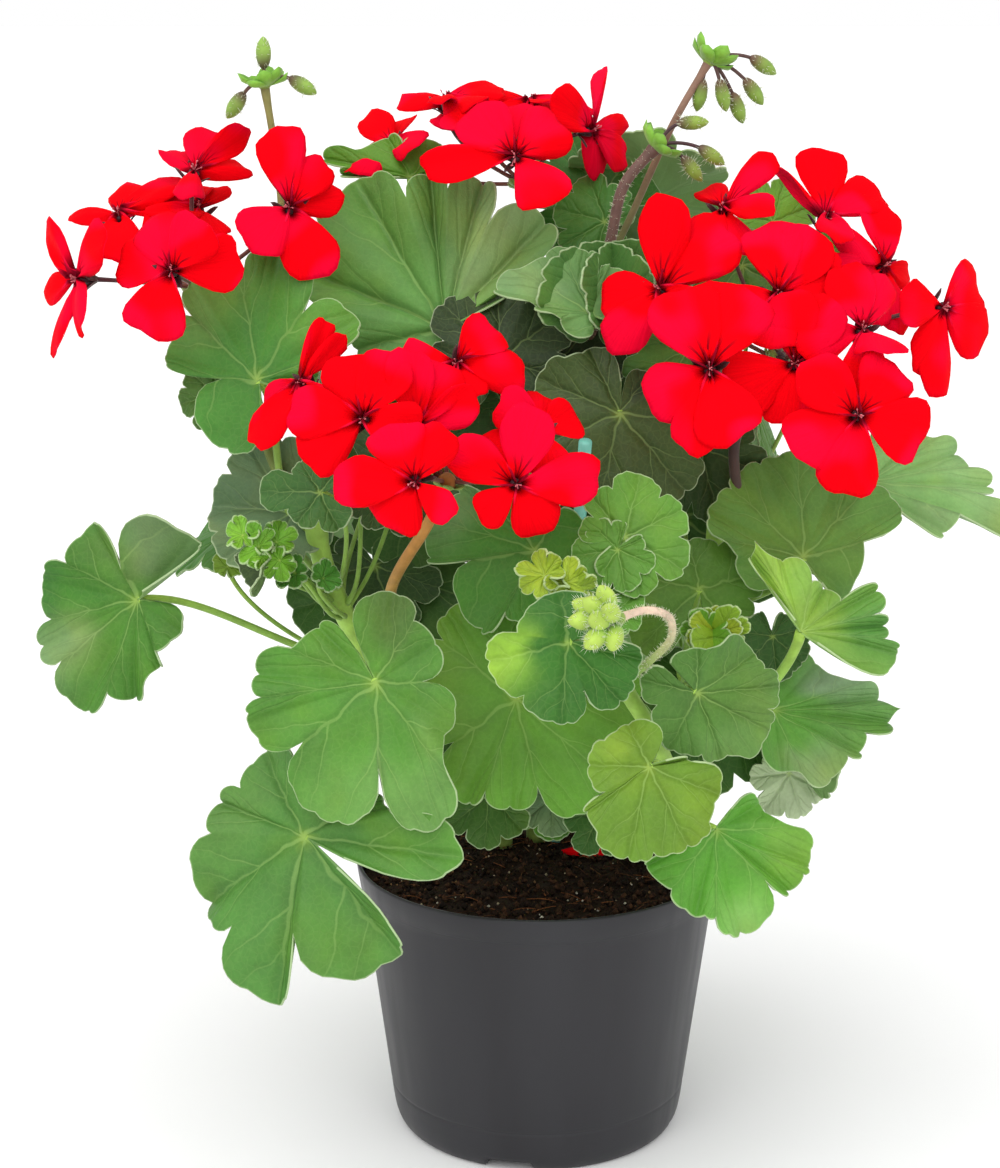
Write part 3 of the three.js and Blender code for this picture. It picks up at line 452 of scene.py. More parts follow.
# Bud clusters: as a flower head, with the places of the buds, their radius and half length, the tones of
# a bud's foot, its tip and its pedicel, and the number of bracts. Buds nod, other than the ones without
# bracts
BUD_CLUSTERS = [
    dict(name="left", stem="left", at=0.9, via=[(-80, 0, 260), (-82, 10, 310)], head=(-86, 8, 342),
         buds=[(-95, 8, 335), (-74, 8, 341), (-86, 8, 351)], size=(2.4, 5), thick=1.2, bracts=9,
         tones=("#7d9a45", "#8d8a50"), bud_tones=("#5f4a3c", "#86a848", "#6a4a40")),
    dict(name="right", stem="center", at=0.93, via=[(24, 14, 290), (42, 10, 330)], head=(53, 12, 349),
         buds=[(50, 12, 338), (57, 10, 338), (62, 13, 334), (67, 14, 339), (70, 16, 347)], size=(2.3, 5.2),
         thick=1.2, bracts=9,
         tones=("#6c7a40", "#8a6a58"), bud_tones=("#6b5040", "#7f9f42", "#553c38")),
    dict(name="middle", stem="center", at=0.84, via=[(22, 0, 294), (26, 0, 311)], head=(36, 0, 323),
         buds=[(47, 0, 330), (53, 0, 320), (47, 0, 316)], size=(2.2, 5), bracts=9, hairy=True,
         tones=("#6b4a38", "#6b5048"), bud_tones=("#5f4a3c", "#86a040", "#4a3034")),
    dict(name="front", stem="front", at=0.84,
         via=[(29, -100, 184), (35, -107, 193), (34, -114, 201), (27, -122, 205)], head=(19, -127, 204),
         buds=[(13, -130, 208), (10, -129, 204), (13, -133, 200), (14, -125, 199), (14, -133, 205),
               (16, -129, 210), (18, -132, 200), (17, -124, 203), (17, -133, 207), (11, -127, 207)],
         size=(2.7, 4.6), thick=1.15, bracts=0, hairy=True,
         tones=("#86ac48", "#e0c4ae"), bud_tones=("#76aa4c", "#a8c452", "#b0c080")),
]


# Small helpers

def colour(code):
    """An sRGB hex colour as linear red, green, blue and alpha."""
    channels = np.array([int(code[i:i + 2], 16) for i in (1, 3, 5)]) / 255
    linear = np.where(channels <= 0.04045, channels / 12.92, ((channels + 0.055) / 1.055) ** 2.4)
    return np.append(linear, 1.0)


def all_over(code, *shape):
    """One colour for every point of a part."""
    return np.broadcast_to(colour(code), (*shape, 4))


def shaded(first, second, share):
    """A colour for each ring of a part: the first where share is 0, the second where it is 1."""
    return colour(first) + (colour(second) - colour(first)) * share[:, None]


def unit(vectors):
    """Vectors of length one."""
    vectors = np.asarray(vectors, float)
    return vectors / np.maximum(np.linalg.norm(vectors, axis=-1, keepdims=True), 1e-12)


def ramp(value, low, high):
    """A smooth step from 0 at low to 1 at high."""
    t = np.clip((value - low) / (high - low), 0, 1)
    return t * t * (3 - 2 * t)


def axes_of(facing, spin):
    """The facing direction, the way the tip points (downhill, turned by spin), and the side between them."""
    b, h, s = np.radians([facing[0], facing[1], spin])
    out = np.array([np.sin(b) * np.cos(h), -np.cos(b) * np.cos(h), np.sin(h)])
    downhill = np.array([np.sin(b) * np.sin(h), -np.cos(b) * np.sin(h), -np.cos(h)])
    tip = downhill * np.cos(s) + np.cross(out, downhill) * np.sin(s)
    return out, tip, np.cross(out, tip)


def turned(angle, first, second):
    """The direction at an angle from the first axis towards the second."""
    return math.cos(angle) * first + math.sin(angle) * second


# Surfaces: a part is its points, its faces (a triangle has -1 as its fourth corner), its marks and its
# finish

def sheet(points, finish, poles=(False, False), wrap=False, **marks):
    """A grid of points (rows, columns, 3) as faces between neighbours; a pole is a row that is one point."""
    rows, columns = points.shape[:2]
    index = np.arange(rows * columns).reshape(rows, columns)
    if poles[0]:
        index[0] = index[0, 0]
    if poles[1]:
        index[-1] = index[-1, 0]
    if wrap:
        index = np.column_stack([index, index[:, 0]])
    faces = np.stack([index[:-1, :-1], index[1:, :-1], index[1:, 1:], index[:-1, 1:]], -1).reshape(-1, 4)
    faces[faces[:, 0] == faces[:, 3], 3] = -1
    shut = faces[:, 1] == faces[:, 2]
    faces[shut, 2:] = np.column_stack([faces[shut, 3], np.full(shut.sum(), -1)])
    used = np.unique(faces[faces >= 0])
    place = np.full(rows * columns + 1, -1)
    place[used] = np.arange(len(used))
    kept = {}
    for name, value in marks.items():
        value = np.asarray(value, float)
        value = value if value.ndim == 3 else value[..., None]
        value = np.broadcast_to(value, (rows, columns, value.shape[-1]))
        kept[name] = value.reshape(rows * columns, -1)[used]
    return dict(points=points.reshape(-1, 3)[used], faces=place[faces], marks=kept, finish=finish)


def normals_of(points, faces):
    """Each point's normal: the mean of the normals of its faces, weighted by their areas."""
    corners = points[faces[:, :3]]
    across = np.cross(corners[:, 1] - corners[:, 0], corners[:, 2] - corners[:, 0])
    total = np.zeros_like(points)
    for k in range(4):
        real = faces[:, k] >= 0
        np.add.at(total, faces[real, k], across[real])
    return unit(total)


def thicken(part, thickness):
    """The sheet, the same sheet moved down its normals by the thickness, and a wall along every free edge."""
    points, faces = part["points"], part["faces"]
    count = len(points)
    lower = points - normals_of(points, faces) * thickness
    under = np.where(faces >= 0, faces + count, -1)[:, ::-1]
    under = np.where(under[:, :1] < 0, np.roll(under, -1, axis=1), under)
    following = np.roll(faces, -1, axis=1)
    three = faces[:, 3] < 0
    following[three, 2] = faces[three, 0]
    real = faces >= 0
    start, end = faces[real], following[real]
    free = ~np.isin(start * count + end, end * count + start)
    a, b = start[free], end[free]
    walls = np.stack([b, a, a + count, b + count], -1)
    marks = {name: np.concatenate([value, value]) for name, value in part["marks"].items()}
    marks["under"] = np.repeat([0.0, 1.0], count)[:, None]
    return dict(points=np.concatenate([points, lower]), faces=np.concatenate([faces, under, walls]),
                marks=marks, finish=part["finish"])


def tube(path, radius, sides, finish, **marks):
    """A round bar along a path: at each point a ring of the radius there, square to the path; its ends are
    closed. The rings start from whichever of some fixed directions stays clearest of the path."""
    path = np.asarray(path, float)
    radius = np.broadcast_to(np.asarray(radius, float), (len(path),))
    along = unit(np.gradient(path, axis=0))
    choices = [(x, y, z) for x in (-1, 0, 1) for y in (-1, 0, 1) for z in (0, 1)]
    choices = unit([choice for choice in choices if any(choice)])
    steady = choices[np.argmin(np.abs(along @ choices.T).max(axis=0))]
    side = unit(np.cross(along, steady))
    up = np.cross(side, along)
    angle = np.linspace(0, 2 * np.pi, sides, endpoint=False)
    ring = np.cos(angle)[None, :, None] * side[:, None] + np.sin(angle)[None, :, None] * up[:, None]
    rings = path[:, None] + ring * radius[:, None, None]
    ends = [np.repeat(path[i][None, None], sides, axis=1) for i in (0, -1)]
    points = np.concatenate([ends[0], rings, ends[1]])
    kept = {}
    for name, value in marks.items():
        value = np.atleast_2d(np.asarray(value, float).T).T
        value = np.broadcast_to(value, (len(path), value.shape[-1]))
        kept[name] = np.repeat(np.concatenate([value[:1], value, value[-1:]])[:, None], sides, axis=1)
    return sheet(points, finish, poles=(True, True), wrap=True, **kept)


def ball(centre, direction, radius, half_length, finish, sides=12, rows=9, point=1.0, **marks):
    """A long ball: a tube whose radius goes as the sine of the way along it, to a power that points its far
    end."""
    turn = np.linspace(0.06, np.pi - 0.06, rows)
    axis = unit(direction)
    path = np.asarray(centre, float) - np.cos(turn)[:, None] * axis * half_length
    width = np.sin(turn) ** np.where(turn > np.pi / 2, point, 1.0)
    return tube(path, radius * width, sides, finish, **marks)


def spikes(roots, directions, length, width, finish, **marks):
    """Hairs: at each root a four-faced spike of the given length along its direction."""
    directions = unit(directions)
    side = unit(np.cross(directions, np.where(np.abs(directions[:, 2:]) > 0.8, (1, 0, 0), (0, 0, 1))))
    up = np.cross(directions, side)
    angles = np.radians([0, 120, 240])
    base = [roots + width * (np.cos(a) * side + np.sin(a) * up) for a in angles]
    tips = roots + directions * np.reshape(length, (-1, 1))
    points = np.stack([*base, tips], 1).reshape(-1, 3)
    corners = np.array([(0, 1, 3, -1), (1, 2, 3, -1), (2, 0, 3, -1), (0, 2, 1, -1)])
    faces = corners[None] + 4 * np.arange(len(roots))[:, None, None] * (corners >= 0)
    kept = {name: np.broadcast_to(np.asarray(value, float), (len(points), np.size(value)))
            for name, value in marks.items()}
    return dict(points=points, faces=faces.reshape(-1, 4), marks=kept, finish=finish)


def mesh_of(name, parts):
    """The mesh of several parts: their points in metres, and their marks as attributes."""
    sizes = np.cumsum([0] + [len(part["points"]) for part in parts])
    points = np.concatenate([part["points"] for part in parts]) * MM
    faces = np.concatenate([np.where(part["faces"] >= 0, part["faces"] + start, -1)
                            for part, start in zip(parts, sizes)])
    finishes = list(dict.fromkeys(part["finish"] for part in parts))
    finish = np.concatenate([np.full(len(part["faces"]), finishes.index(part["finish"])) for part in parts])
    corners = faces[faces >= 0]
    counts = (faces >= 0).sum(axis=1)
    mesh = bpy.data.meshes.new(name)
    mesh.vertices.add(len(points))
    mesh.vertices.foreach_set("co", points.astype(np.float32).ravel())
    mesh.loops.add(len(corners))
    mesh.loops.foreach_set("vertex_index", corners.astype(np.int32))
    mesh.polygons.add(len(faces))
    mesh.polygons.foreach_set("loop_start", (np.cumsum(counts) - counts).astype(np.int32))
    mesh.polygons.foreach_set("loop_total", counts.astype(np.int32))
    mesh.polygons.foreach_set("material_index", finish.astype(np.int32))
    mesh.polygons.foreach_set("use_smooth", np.ones(len(faces), bool))
    mesh.update(calc_edges=True)
    for material in finishes:
        mesh.materials.append(material)
    widths = {key: value.shape[1] for part in parts for key, value in part["marks"].items()}
    for key, width in widths.items():
        value = np.concatenate([part["marks"].get(key, np.zeros((len(part["points"]), width)))
                                for part in parts])
        if key == "uv":
            layer = mesh.uv_layers.new(name="surface")
            layer.data.foreach_set("uv", value[corners].astype(np.float32).ravel())
        else:
            kind, field = ("FLOAT_COLOR", "color") if width == 4 else ("FLOAT", "value")
            layer = mesh.attributes.new(key, kind, "POINT")
            layer.data.foreach_set(field, value.astype(np.float32).ravel())
    return mesh


def piece(name, parts):
    """One object of several parts, which takes the place of the CAD node of its name."""
    made = bpy.data.objects.new(name, mesh_of(name, parts))
    bpy.context.scene.collection.objects.link(made)
    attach(made, "root")
    if name in frame["nodes"]:
        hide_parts(name)
    return made


# Paths

def evenly(path, count):
    """The points of a fine path, spaced evenly along its length."""
    walked = np.append(0, np.cumsum(np.linalg.norm(np.diff(path, axis=0), axis=1)))
    at = np.linspace(0, walked[-1], count)
    return np.column_stack([np.interp(at, walked, path[:, k]) for k in range(3)])


def smooth_path(points, count):
    """A centripetal Catmull-Rom curve through the points, evenly spaced."""
    p = np.asarray(points, float)
    p = np.concatenate([[2 * p[0] - p[1]], p, [2 * p[-1] - p[-2]]])
    gap = np.sqrt(np.linalg.norm(np.diff(p, axis=0), axis=1))[:, None]
    first, middle, last = gap[:-2], gap[1:-1], gap[2:]
    p0, p1, p2, p3 = p[:-3], p[1:-2], p[2:-1], p[3:]
    leave = ((p1 - p0) / first - (p2 - p0) / (first + middle) + (p2 - p1) / middle) * middle
    reach = ((p2 - p1) / middle - (p3 - p1) / (middle + last) + (p3 - p2) / last) * middle
    t = np.linspace(0, 1, 60, endpoint=False)[None, :, None]
    p1, p2, leave, reach = (v[:, None] for v in (p1, p2, leave, reach))
    fine = (p1 + leave * t + (3 * (p2 - p1) - 2 * leave - reach) * t ** 2
            + (2 * (p1 - p2) + leave + reach) * t ** 3)
    return evenly(np.concatenate([fine.reshape(-1, 3), p[-2:-1]]), count)


def bezier(controls, count):
    """A Bezier curve: the control points weighted by the Bernstein polynomials, evenly spaced."""
    controls = np.asarray(controls, float)
    n = len(controls) - 1
    t = np.linspace(0, 1, 200)[:, None]
    k = np.arange(n + 1)
    weights = np.array([math.comb(n, i) for i in k]) * t ** k * (1 - t) ** (n - k)
    return evenly(weights @ controls, count)


def stem_path(name, count):
    """A stem starts straight up from the soil and then passes its points."""
    x, y = STEMS[name]["points"][0][:2]
    foot = [(x, y, STEM_FOOT), (x, y, STEM_FOOT + STEM_FOOT_RISE)]
    return smooth_path(foot + STEMS[name]["points"], count)


def fork(stem, share, target, stalk_radius):
    """Where a stalk leaves a stem towards a target: a point just off the stem's skin, and the way it sets
    out."""
    path = stem_path(stem, STEM_STEPS + 1)
    step = int(share * STEM_STEPS)
    axis = path[step] + (path[step + 1] - path[step]) * (share * STEM_STEPS - step)
    along = unit(path[step + 1] - path[step])
    out = np.asarray(target, float) - axis
    out = unit(out - along * (out @ along))
    leaving = unit(out + FORK_LEAN * along)
    clearance = STEMS[stem]["radius"] + SEAT_GAP + stalk_radius * math.sqrt(1 - (leaving @ out) ** 2)
    return axis + out * clearance, leaving


# Materials

def add(tree, kind, settings=None, inputs=None, output=0):
    """Adds a shader node, sets its settings, sets or links its inputs, and gives back one of its outputs."""
    made = tree.nodes.new("ShaderNode" + kind)
    for key, value in (settings or {}).items():
        setattr(made, key, value)
    for key, value in (inputs or {}).items():
        if isinstance(value, bpy.types.NodeSocket):
            tree.links.new(value, made.inputs[key])
        else:
            made.inputs[key].default_value = value
    return made.outputs[output] if made.outputs else None


def new_material(name):
    """A material, its node tree, and the place on the object in metres that its patterns are laid out by."""
    material = bpy.data.materials.new(name)
    material.use_nodes = True
    material.node_tree.nodes.clear()
    return material, material.node_tree, add(material.node_tree, "TexCoord", output=3)


def mark(tree, name):
    """A colour that the mesh carries at each point."""
    return add(tree, "Attribute", {"attribute_name": name})


def share_mark(tree, name):
    """A number that the mesh carries at each point."""
    return add(tree, "Attribute", {"attribute_name": name}, output=2)


def maths(tree, operation, *values):
    """One sum on numbers or other nodes' outputs."""
    return add(tree, "Math", {"operation": operation}, dict(enumerate(values)))


def vector(tree, operation, *values, output=0):
    """One sum on vectors."""
    return add(tree, "VectorMath", {"operation": operation}, dict(enumerate(values)), output)


def split(tree, source):
    """The x, y and z of a vector."""
    return add(tree, "SeparateXYZ", {}, {0: source}).node.outputs


def times(tree, tone, share):
    """A colour made lighter or darker by a number."""
    return add(tree, "VectorMath", {"operation": "SCALE"}, {0: tone, "Scale": share})


def remap(tree, value, low, high, at_low, at_high):
    """A value stretched from the span low to high onto the span at_low to at_high, and held at its ends."""
    return add(tree, "MapRange", {}, {0: value, 1: low, 2: high, 3: at_low, 4: at_high})


def ease(tree, value, low, high, at_low, at_high):
    """As remap, with a smooth start and end."""
    return add(tree, "MapRange", {"interpolation_type": "SMOOTHSTEP"},
               {0: value, 1: low, 2: high, 3: at_low, 4: at_high})


def noise(tree, place, scale, detail=2.0):
    """Cloudy noise: scale is in patches per metre."""
    return add(tree, "TexNoise", {}, {"Vector": place, "Scale": scale, "Detail": detail})


def blend(tree, share, first, second):
    """A mix of two colours, each a hex code or another node's output."""
    first, second = (tuple(colour(tone)) if isinstance(tone, str) else tone for tone in (first, second))
    return add(tree, "Mix", {"data_type": "RGBA"}, {0: share, 6: first, 7: second}, 2)


def bumps(tree, strength, depth, height):
    """Small relief: depth is in metres."""
    return add(tree, "Bump", {}, {"Strength": strength, "Distance": depth, "Height": height})


def surface(tree, tone, roughness, specular, **more):
    """The finish of it all: one principled shader, linked to the output."""
    inputs = {"Base Color": tone, "Roughness": roughness, "Specular IOR Level": specular}
    inputs.update({key.replace("_", " "): value for key, value in more.items()})
    add(tree, "OutputMaterial", {}, {"Surface": add(tree, "BsdfPrincipled", {}, inputs)})


def leaf_material():
    """Living pelargonium leaf: a soft felted cuticle. It gives satin light on a mottled green, with thin pale
    sunk veins that fan from the stalk and fork, a pale hairy rim, and a duller, paler underside."""
    material, tree, place = new_material("pelargonium_leaf_felted")
    uv = add(tree, "UVMap", {"uv_map": "surface"})
    tint = mark(tree, "tint")
    edge = share_mark(tree, "edge")
    under = share_mark(tree, "under")
    # The vein pattern is shifted a little each way, so that no vein is straight
    wander = add(tree, "TexNoise", {"noise_dimensions": "2D"}, {"Vector": uv, "Scale": 5.0, "Detail": 1.0}, 1)
    shifted = vector(tree, "MULTIPLY_ADD", wander, (0.05, 0.05, 0), uv)
    straight = vector(tree, "SUBTRACT", shifted, (0.025, 0.025, 0))
    x, y, _ = split(tree, straight)
    # One lobe's pattern is repeated round the leaf: how far a point is along its main vein, and off it
    turn = math.radians(PATTERN_ANGLE)
    local = maths(tree, "WRAP", maths(tree, "ARCTAN2", y, x), turn / 2, -turn / 2)
    reach = vector(tree, "LENGTH", straight, output=1)
    across = maths(tree, "ABSOLUTE", maths(tree, "MULTIPLY", reach, maths(tree, "SINE", local)))
    ahead = maths(tree, "MULTIPLY", reach, maths(tree, "COSINE", local))
    nearest = across
    # Side veins leave the main one at these shares of the radius, with these slopes
    for start, slope in ((0.42, 0.5), (0.68, 0.55)):
        rise = maths(tree, "MULTIPLY_ADD", ahead, slope, -slope * start)
        gap = maths(tree, "ABSOLUTE", maths(tree, "SUBTRACT", across, rise))
        nearest = maths(tree, "MINIMUM", nearest, maths(tree, "MULTIPLY", gap, 1.35))
    width = remap(tree, reach, 0.0, 1.0, 0.012, 0.004)
    vein = ease(tree, maths(tree, "DIVIDE", nearest, width), 0.4, 1.3, 1.0, 0.0)
    # Creases along the veins: sunk by the bump below, and darkened as painted shade
    main_crease = ease(tree, across, 0.0, 0.06, 1.0, 0.0)
    side_crease = ease(tree, nearest, 0.0, 0.05, 0.5, 0.0)
    crease_relief_and_painted_shade = maths(tree, "MAXIMUM", main_crease, side_crease)
    # Net of small veins, 2.2 mm across
    net = add(tree, "TexVoronoi", {"feature": "DISTANCE_TO_EDGE"}, {"Vector": place, "Scale": 450.0})
    mesh_line = remap(tree, net, 0.0, 0.12, 1.0, 0.0)
    # Mottling in patches of 14 mm and felt of about 1 mm, painted shade in the creases along the veins, and
    # sunnier green in clouds of 26 mm
    patch = noise(tree, place, 70.0, 3.0)
    fine = noise(tree, place, 900.0)
    shade = maths(tree, "MULTIPLY", remap(tree, patch, 0.3, 0.7, 0.78, 1.04),
                  remap(tree, fine, 0.3, 0.7, 0.95, 1.05))
    # Painted shade: up to 14% darker in the creases along the veins
    shade = maths(tree, "MULTIPLY", shade, remap(tree, crease_relief_and_painted_shade, 0.0, 1.0, 1.0, 0.86))
    body = times(tree, tint, shade)
    sunny = vector(tree, "MULTIPLY", body, (1.3, 1.06, 0.7))
    body = blend(tree, ease(tree, noise(tree, place, 38.0), 0.45, 0.7, 0.0, 0.6), body, sunny)
    pale = blend(tree, 0.42, tint, "#b9d67e")
    fading = remap(tree, reach, 0.0, 1.0, 0.5, 0.1)
    upper = blend(tree, maths(tree, "MULTIPLY", vein, fading), body, pale)
    upper = blend(tree, maths(tree, "MULTIPLY", mesh_line, 0.07), upper, pale)
    lower = blend(tree, 0.55, upper, "#8fae72")
    whole = blend(tree, under, upper, lower)
    # The rim mark is in millimetres from the edge
    whole = blend(tree, ease(tree, edge, 0.05, 0.45, 0.5, 0.0), whole, "#c9dcae")
    relief = maths(tree, "MULTIPLY_ADD", crease_relief_and_painted_shade, -0.55, 0.5)
    relief = maths(tree, "MULTIPLY_ADD", mesh_line, -0.05, relief)
    relief = maths(tree, "MULTIPLY_ADD", fine, 0.05, relief)
    rough = remap(tree, patch, 0.3, 0.7, 0.46, 0.6)
    surface(tree, whole, rough, 0.26, Normal=bumps(tree, 0.55, 0.0012, relief))
    return material


def stalk_material():
    """Living green stalk: a firm skin with fine down. It gives a softly mottled green or brown, from the tint
    mark, with a fine grain and a pale bloom where it turns away."""
    material, tree, place = new_material("plant_stalk_downy")
    streak = noise(tree, place, 260.0, 3.0)
    body = times(tree, mark(tree, "tint"), remap(tree, streak, 0.3, 0.7, 0.82, 1.16))
    surface(tree, body, 0.5, 0.3, Normal=bumps(tree, 0.4, 0.0003, noise(tree, place, 1500.0)),
            Sheen_Weight=0.25, Sheen_Roughness=0.4, Sheen_Tint=(0.95, 1.0, 0.85, 1.0))
    return material


def petal_material():
    """Fresh petal: thin velvety cells full of red dye. It gives a flat, saturated scarlet with almost no
    shine, pinker in broad patches, with a dark star at the throat and dark lines on the upper two petals."""
    material, tree, place = new_material("petal_scarlet_velvet")
    uv = add(tree, "UVMap", {"uv_map": "surface"})
    across, along, _ = split(tree, uv)
    pinker = ease(tree, noise(tree, place, 45.0, 1.0), 0.46, 0.6, 0.0, 0.75)
    red = blend(tree, pinker, "#ea000e", "#e80634")
    # Fine lines that run up the petal, about 0.8 mm apart
    stretched = add(tree, "Mapping", {}, {"Vector": uv, "Scale": (14.0, 1.2, 1.0)})
    grain = add(tree, "TexNoise", {"noise_dimensions": "2D"},
                {"Vector": stretched, "Scale": 1.0, "Detail": 2.0})
    red = times(tree, red, remap(tree, grain, 0.3, 0.7, 0.93, 1.05))
    # The throat and the lines end raggedly, each grain at its own height
    ragged = maths(tree, "MULTIPLY_ADD", grain, 0.16, along)
    throat = ease(tree, ragged, 0.15, 0.26, 0.9, 0.0)
    wave = maths(tree, "COSINE", maths(tree, "MULTIPLY", across, 12.0))
    line = ease(tree, wave, 0.35, 0.9, 0.0, 1.0)
    line = maths(tree, "MULTIPLY", line, ease(tree, ragged, 0.26, 0.56, 0.85, 0.0))
    line = maths(tree, "MULTIPLY", line, share_mark(tree, "upper"))
    back = blend(tree, 0.5, red, "#ee1c50")
    red = blend(tree, share_mark(tree, "under"), red, back)
    red = blend(tree, maths(tree, "MAXIMUM", throat, line), red, "#5a0716")
    surface(tree, red, 0.8, 0.03, Normal=bumps(tree, 0.25, 0.0003, grain))
    return material


def stamen_material():
    """Filaments and pollen: small waxy threads, dull to pale pink, that catch light in the dark throat."""
    material, tree, place = new_material("stamen_waxy_pale")
    surface(tree, blend(tree, noise(tree, place, 1200.0), "#a82438", "#e88c94"), 0.5, 0.3)
    return material


def pot_material():
    """Recycled polypropylene, thin and injection moulded: charcoal satin, with soft broad vertical streaks
    that are partly flow lines and partly painted reflection bands, and a fine orange-peel skin."""
    material, tree, place = new_material("polypropylene_moulded_charcoal")
    # Vertical streaks about 6 mm wide and the height of the wall: partly flow lines of the moulding, partly
    # painted reflection bands
    tall = add(tree, "Mapping", {}, {"Vector": place, "Scale": (1.0, 1.0, 0.06)})
    streak = noise(tree, tall, 160.0, 3.0)
    flow_streaks_and_painted_reflection = maths(tree, "MULTIPLY_ADD", streak, 0.45, noise(tree, tall, 30.0, 1.0))
    body = blend(tree, remap(tree, flow_streaks_and_painted_reflection, 0.45, 1.0, 0.0, 1.0), "#212024", "#2b2b2f")
    skin = bumps(tree, 0.12, 0.0002, noise(tree, place, 2600.0))
    surface(tree, body, remap(tree, streak, 0.3, 0.7, 0.36, 0.5), 0.4, Normal=skin, IOR=1.49)
    return material


def soil_material():
    """Moist peat compost: a matt, crumbly near-black brown with redder and paler grains."""
    material, tree, place = new_material("peat_compost_moist")
    grain = noise(tree, place, 900.0, 5.0)
    body = times(tree, mark(tree, "tint"), remap(tree, grain, 0.3, 0.7, 0.35, 1.7))
    surface(tree, body, 0.9, 0.2, Normal=bumps(tree, 0.9, 0.001, grain))
    return material


def cane_material():
    """Dyed polyethylene tube: a waxy, slightly cloudy pale teal with a soft broad shine."""
    material, tree, place = new_material("polyethylene_tube_teal")
    surface(tree, blend(tree, noise(tree, place, 300.0), "#6cc0ac", "#8fd8c8"), 0.35, 0.4)
    return material


def floor_material():
    """Matt white paint: it gives a plain pale ground with a barely clouded tone."""
    material, tree, place = new_material("floor_matt_white")
    surface(tree, blend(tree, noise(tree, place, 3.0), "#fafafa", "#fdfdfd"), 0.9, 0.1)
    return material


LEAF = leaf_material()
STALK = stalk_material()
PETAL = petal_material()
STAMEN = stamen_material()
POT = pot_material()
SOIL = soil_material()
CANE_PLASTIC = cane_material()
FLOOR = floor_material()


# Leaves

def gentle(x, y, rng, wavelength, waves=5):
    """Low rolling unevenness: a sum of sine waves of about one wavelength in random directions."""
    total = 0
    for _ in range(waves):
        bearing, phase = rng.uniform(0, 2 * np.pi, 2)
        total = total + np.sin(2 * np.pi * (x * np.cos(bearing) + y * np.sin(bearing)) / wavelength + phase)
    return total / waves


def plain_outline(row, rng):
    """Lobes that shorten towards the slit, none quite like the next: rows of (angle, reach), first a gap,
    then a tip, and so on to the last gap."""
    tips = (np.arange(LOBE_COUNT) - LOBE_COUNT // 2) * LOBE_SPACING + rng.uniform(-5, 5, LOBE_COUNT)
    reach = 1 - BASE_SHORTENING * ((1 - np.cos(np.radians(tips))) / 2) ** 1.5
    reach = reach * rng.uniform(0.92, 1.06, LOBE_COUNT)
    edge = 180 - rng.uniform(3, 14)
    between = (tips[1:] + tips[:-1]) / 2 + rng.uniform(-4, 4, LOBE_COUNT - 1)
    gaps = np.concatenate([[-edge], between, [edge]])
    depth = row.get("lobed", 0.22) * rng.uniform(0.7, 1.2, LOBE_COUNT - 1)
    low = (reach[1:] + reach[:-1]) / 2 * (1 - depth)
    knots = np.empty((2 * LOBE_COUNT + 1, 2))
    knots[0::2] = np.column_stack([gaps, np.concatenate([[0.25], low, [0.25]])])
    knots[1::2] = np.column_stack([tips, reach])
    return knots


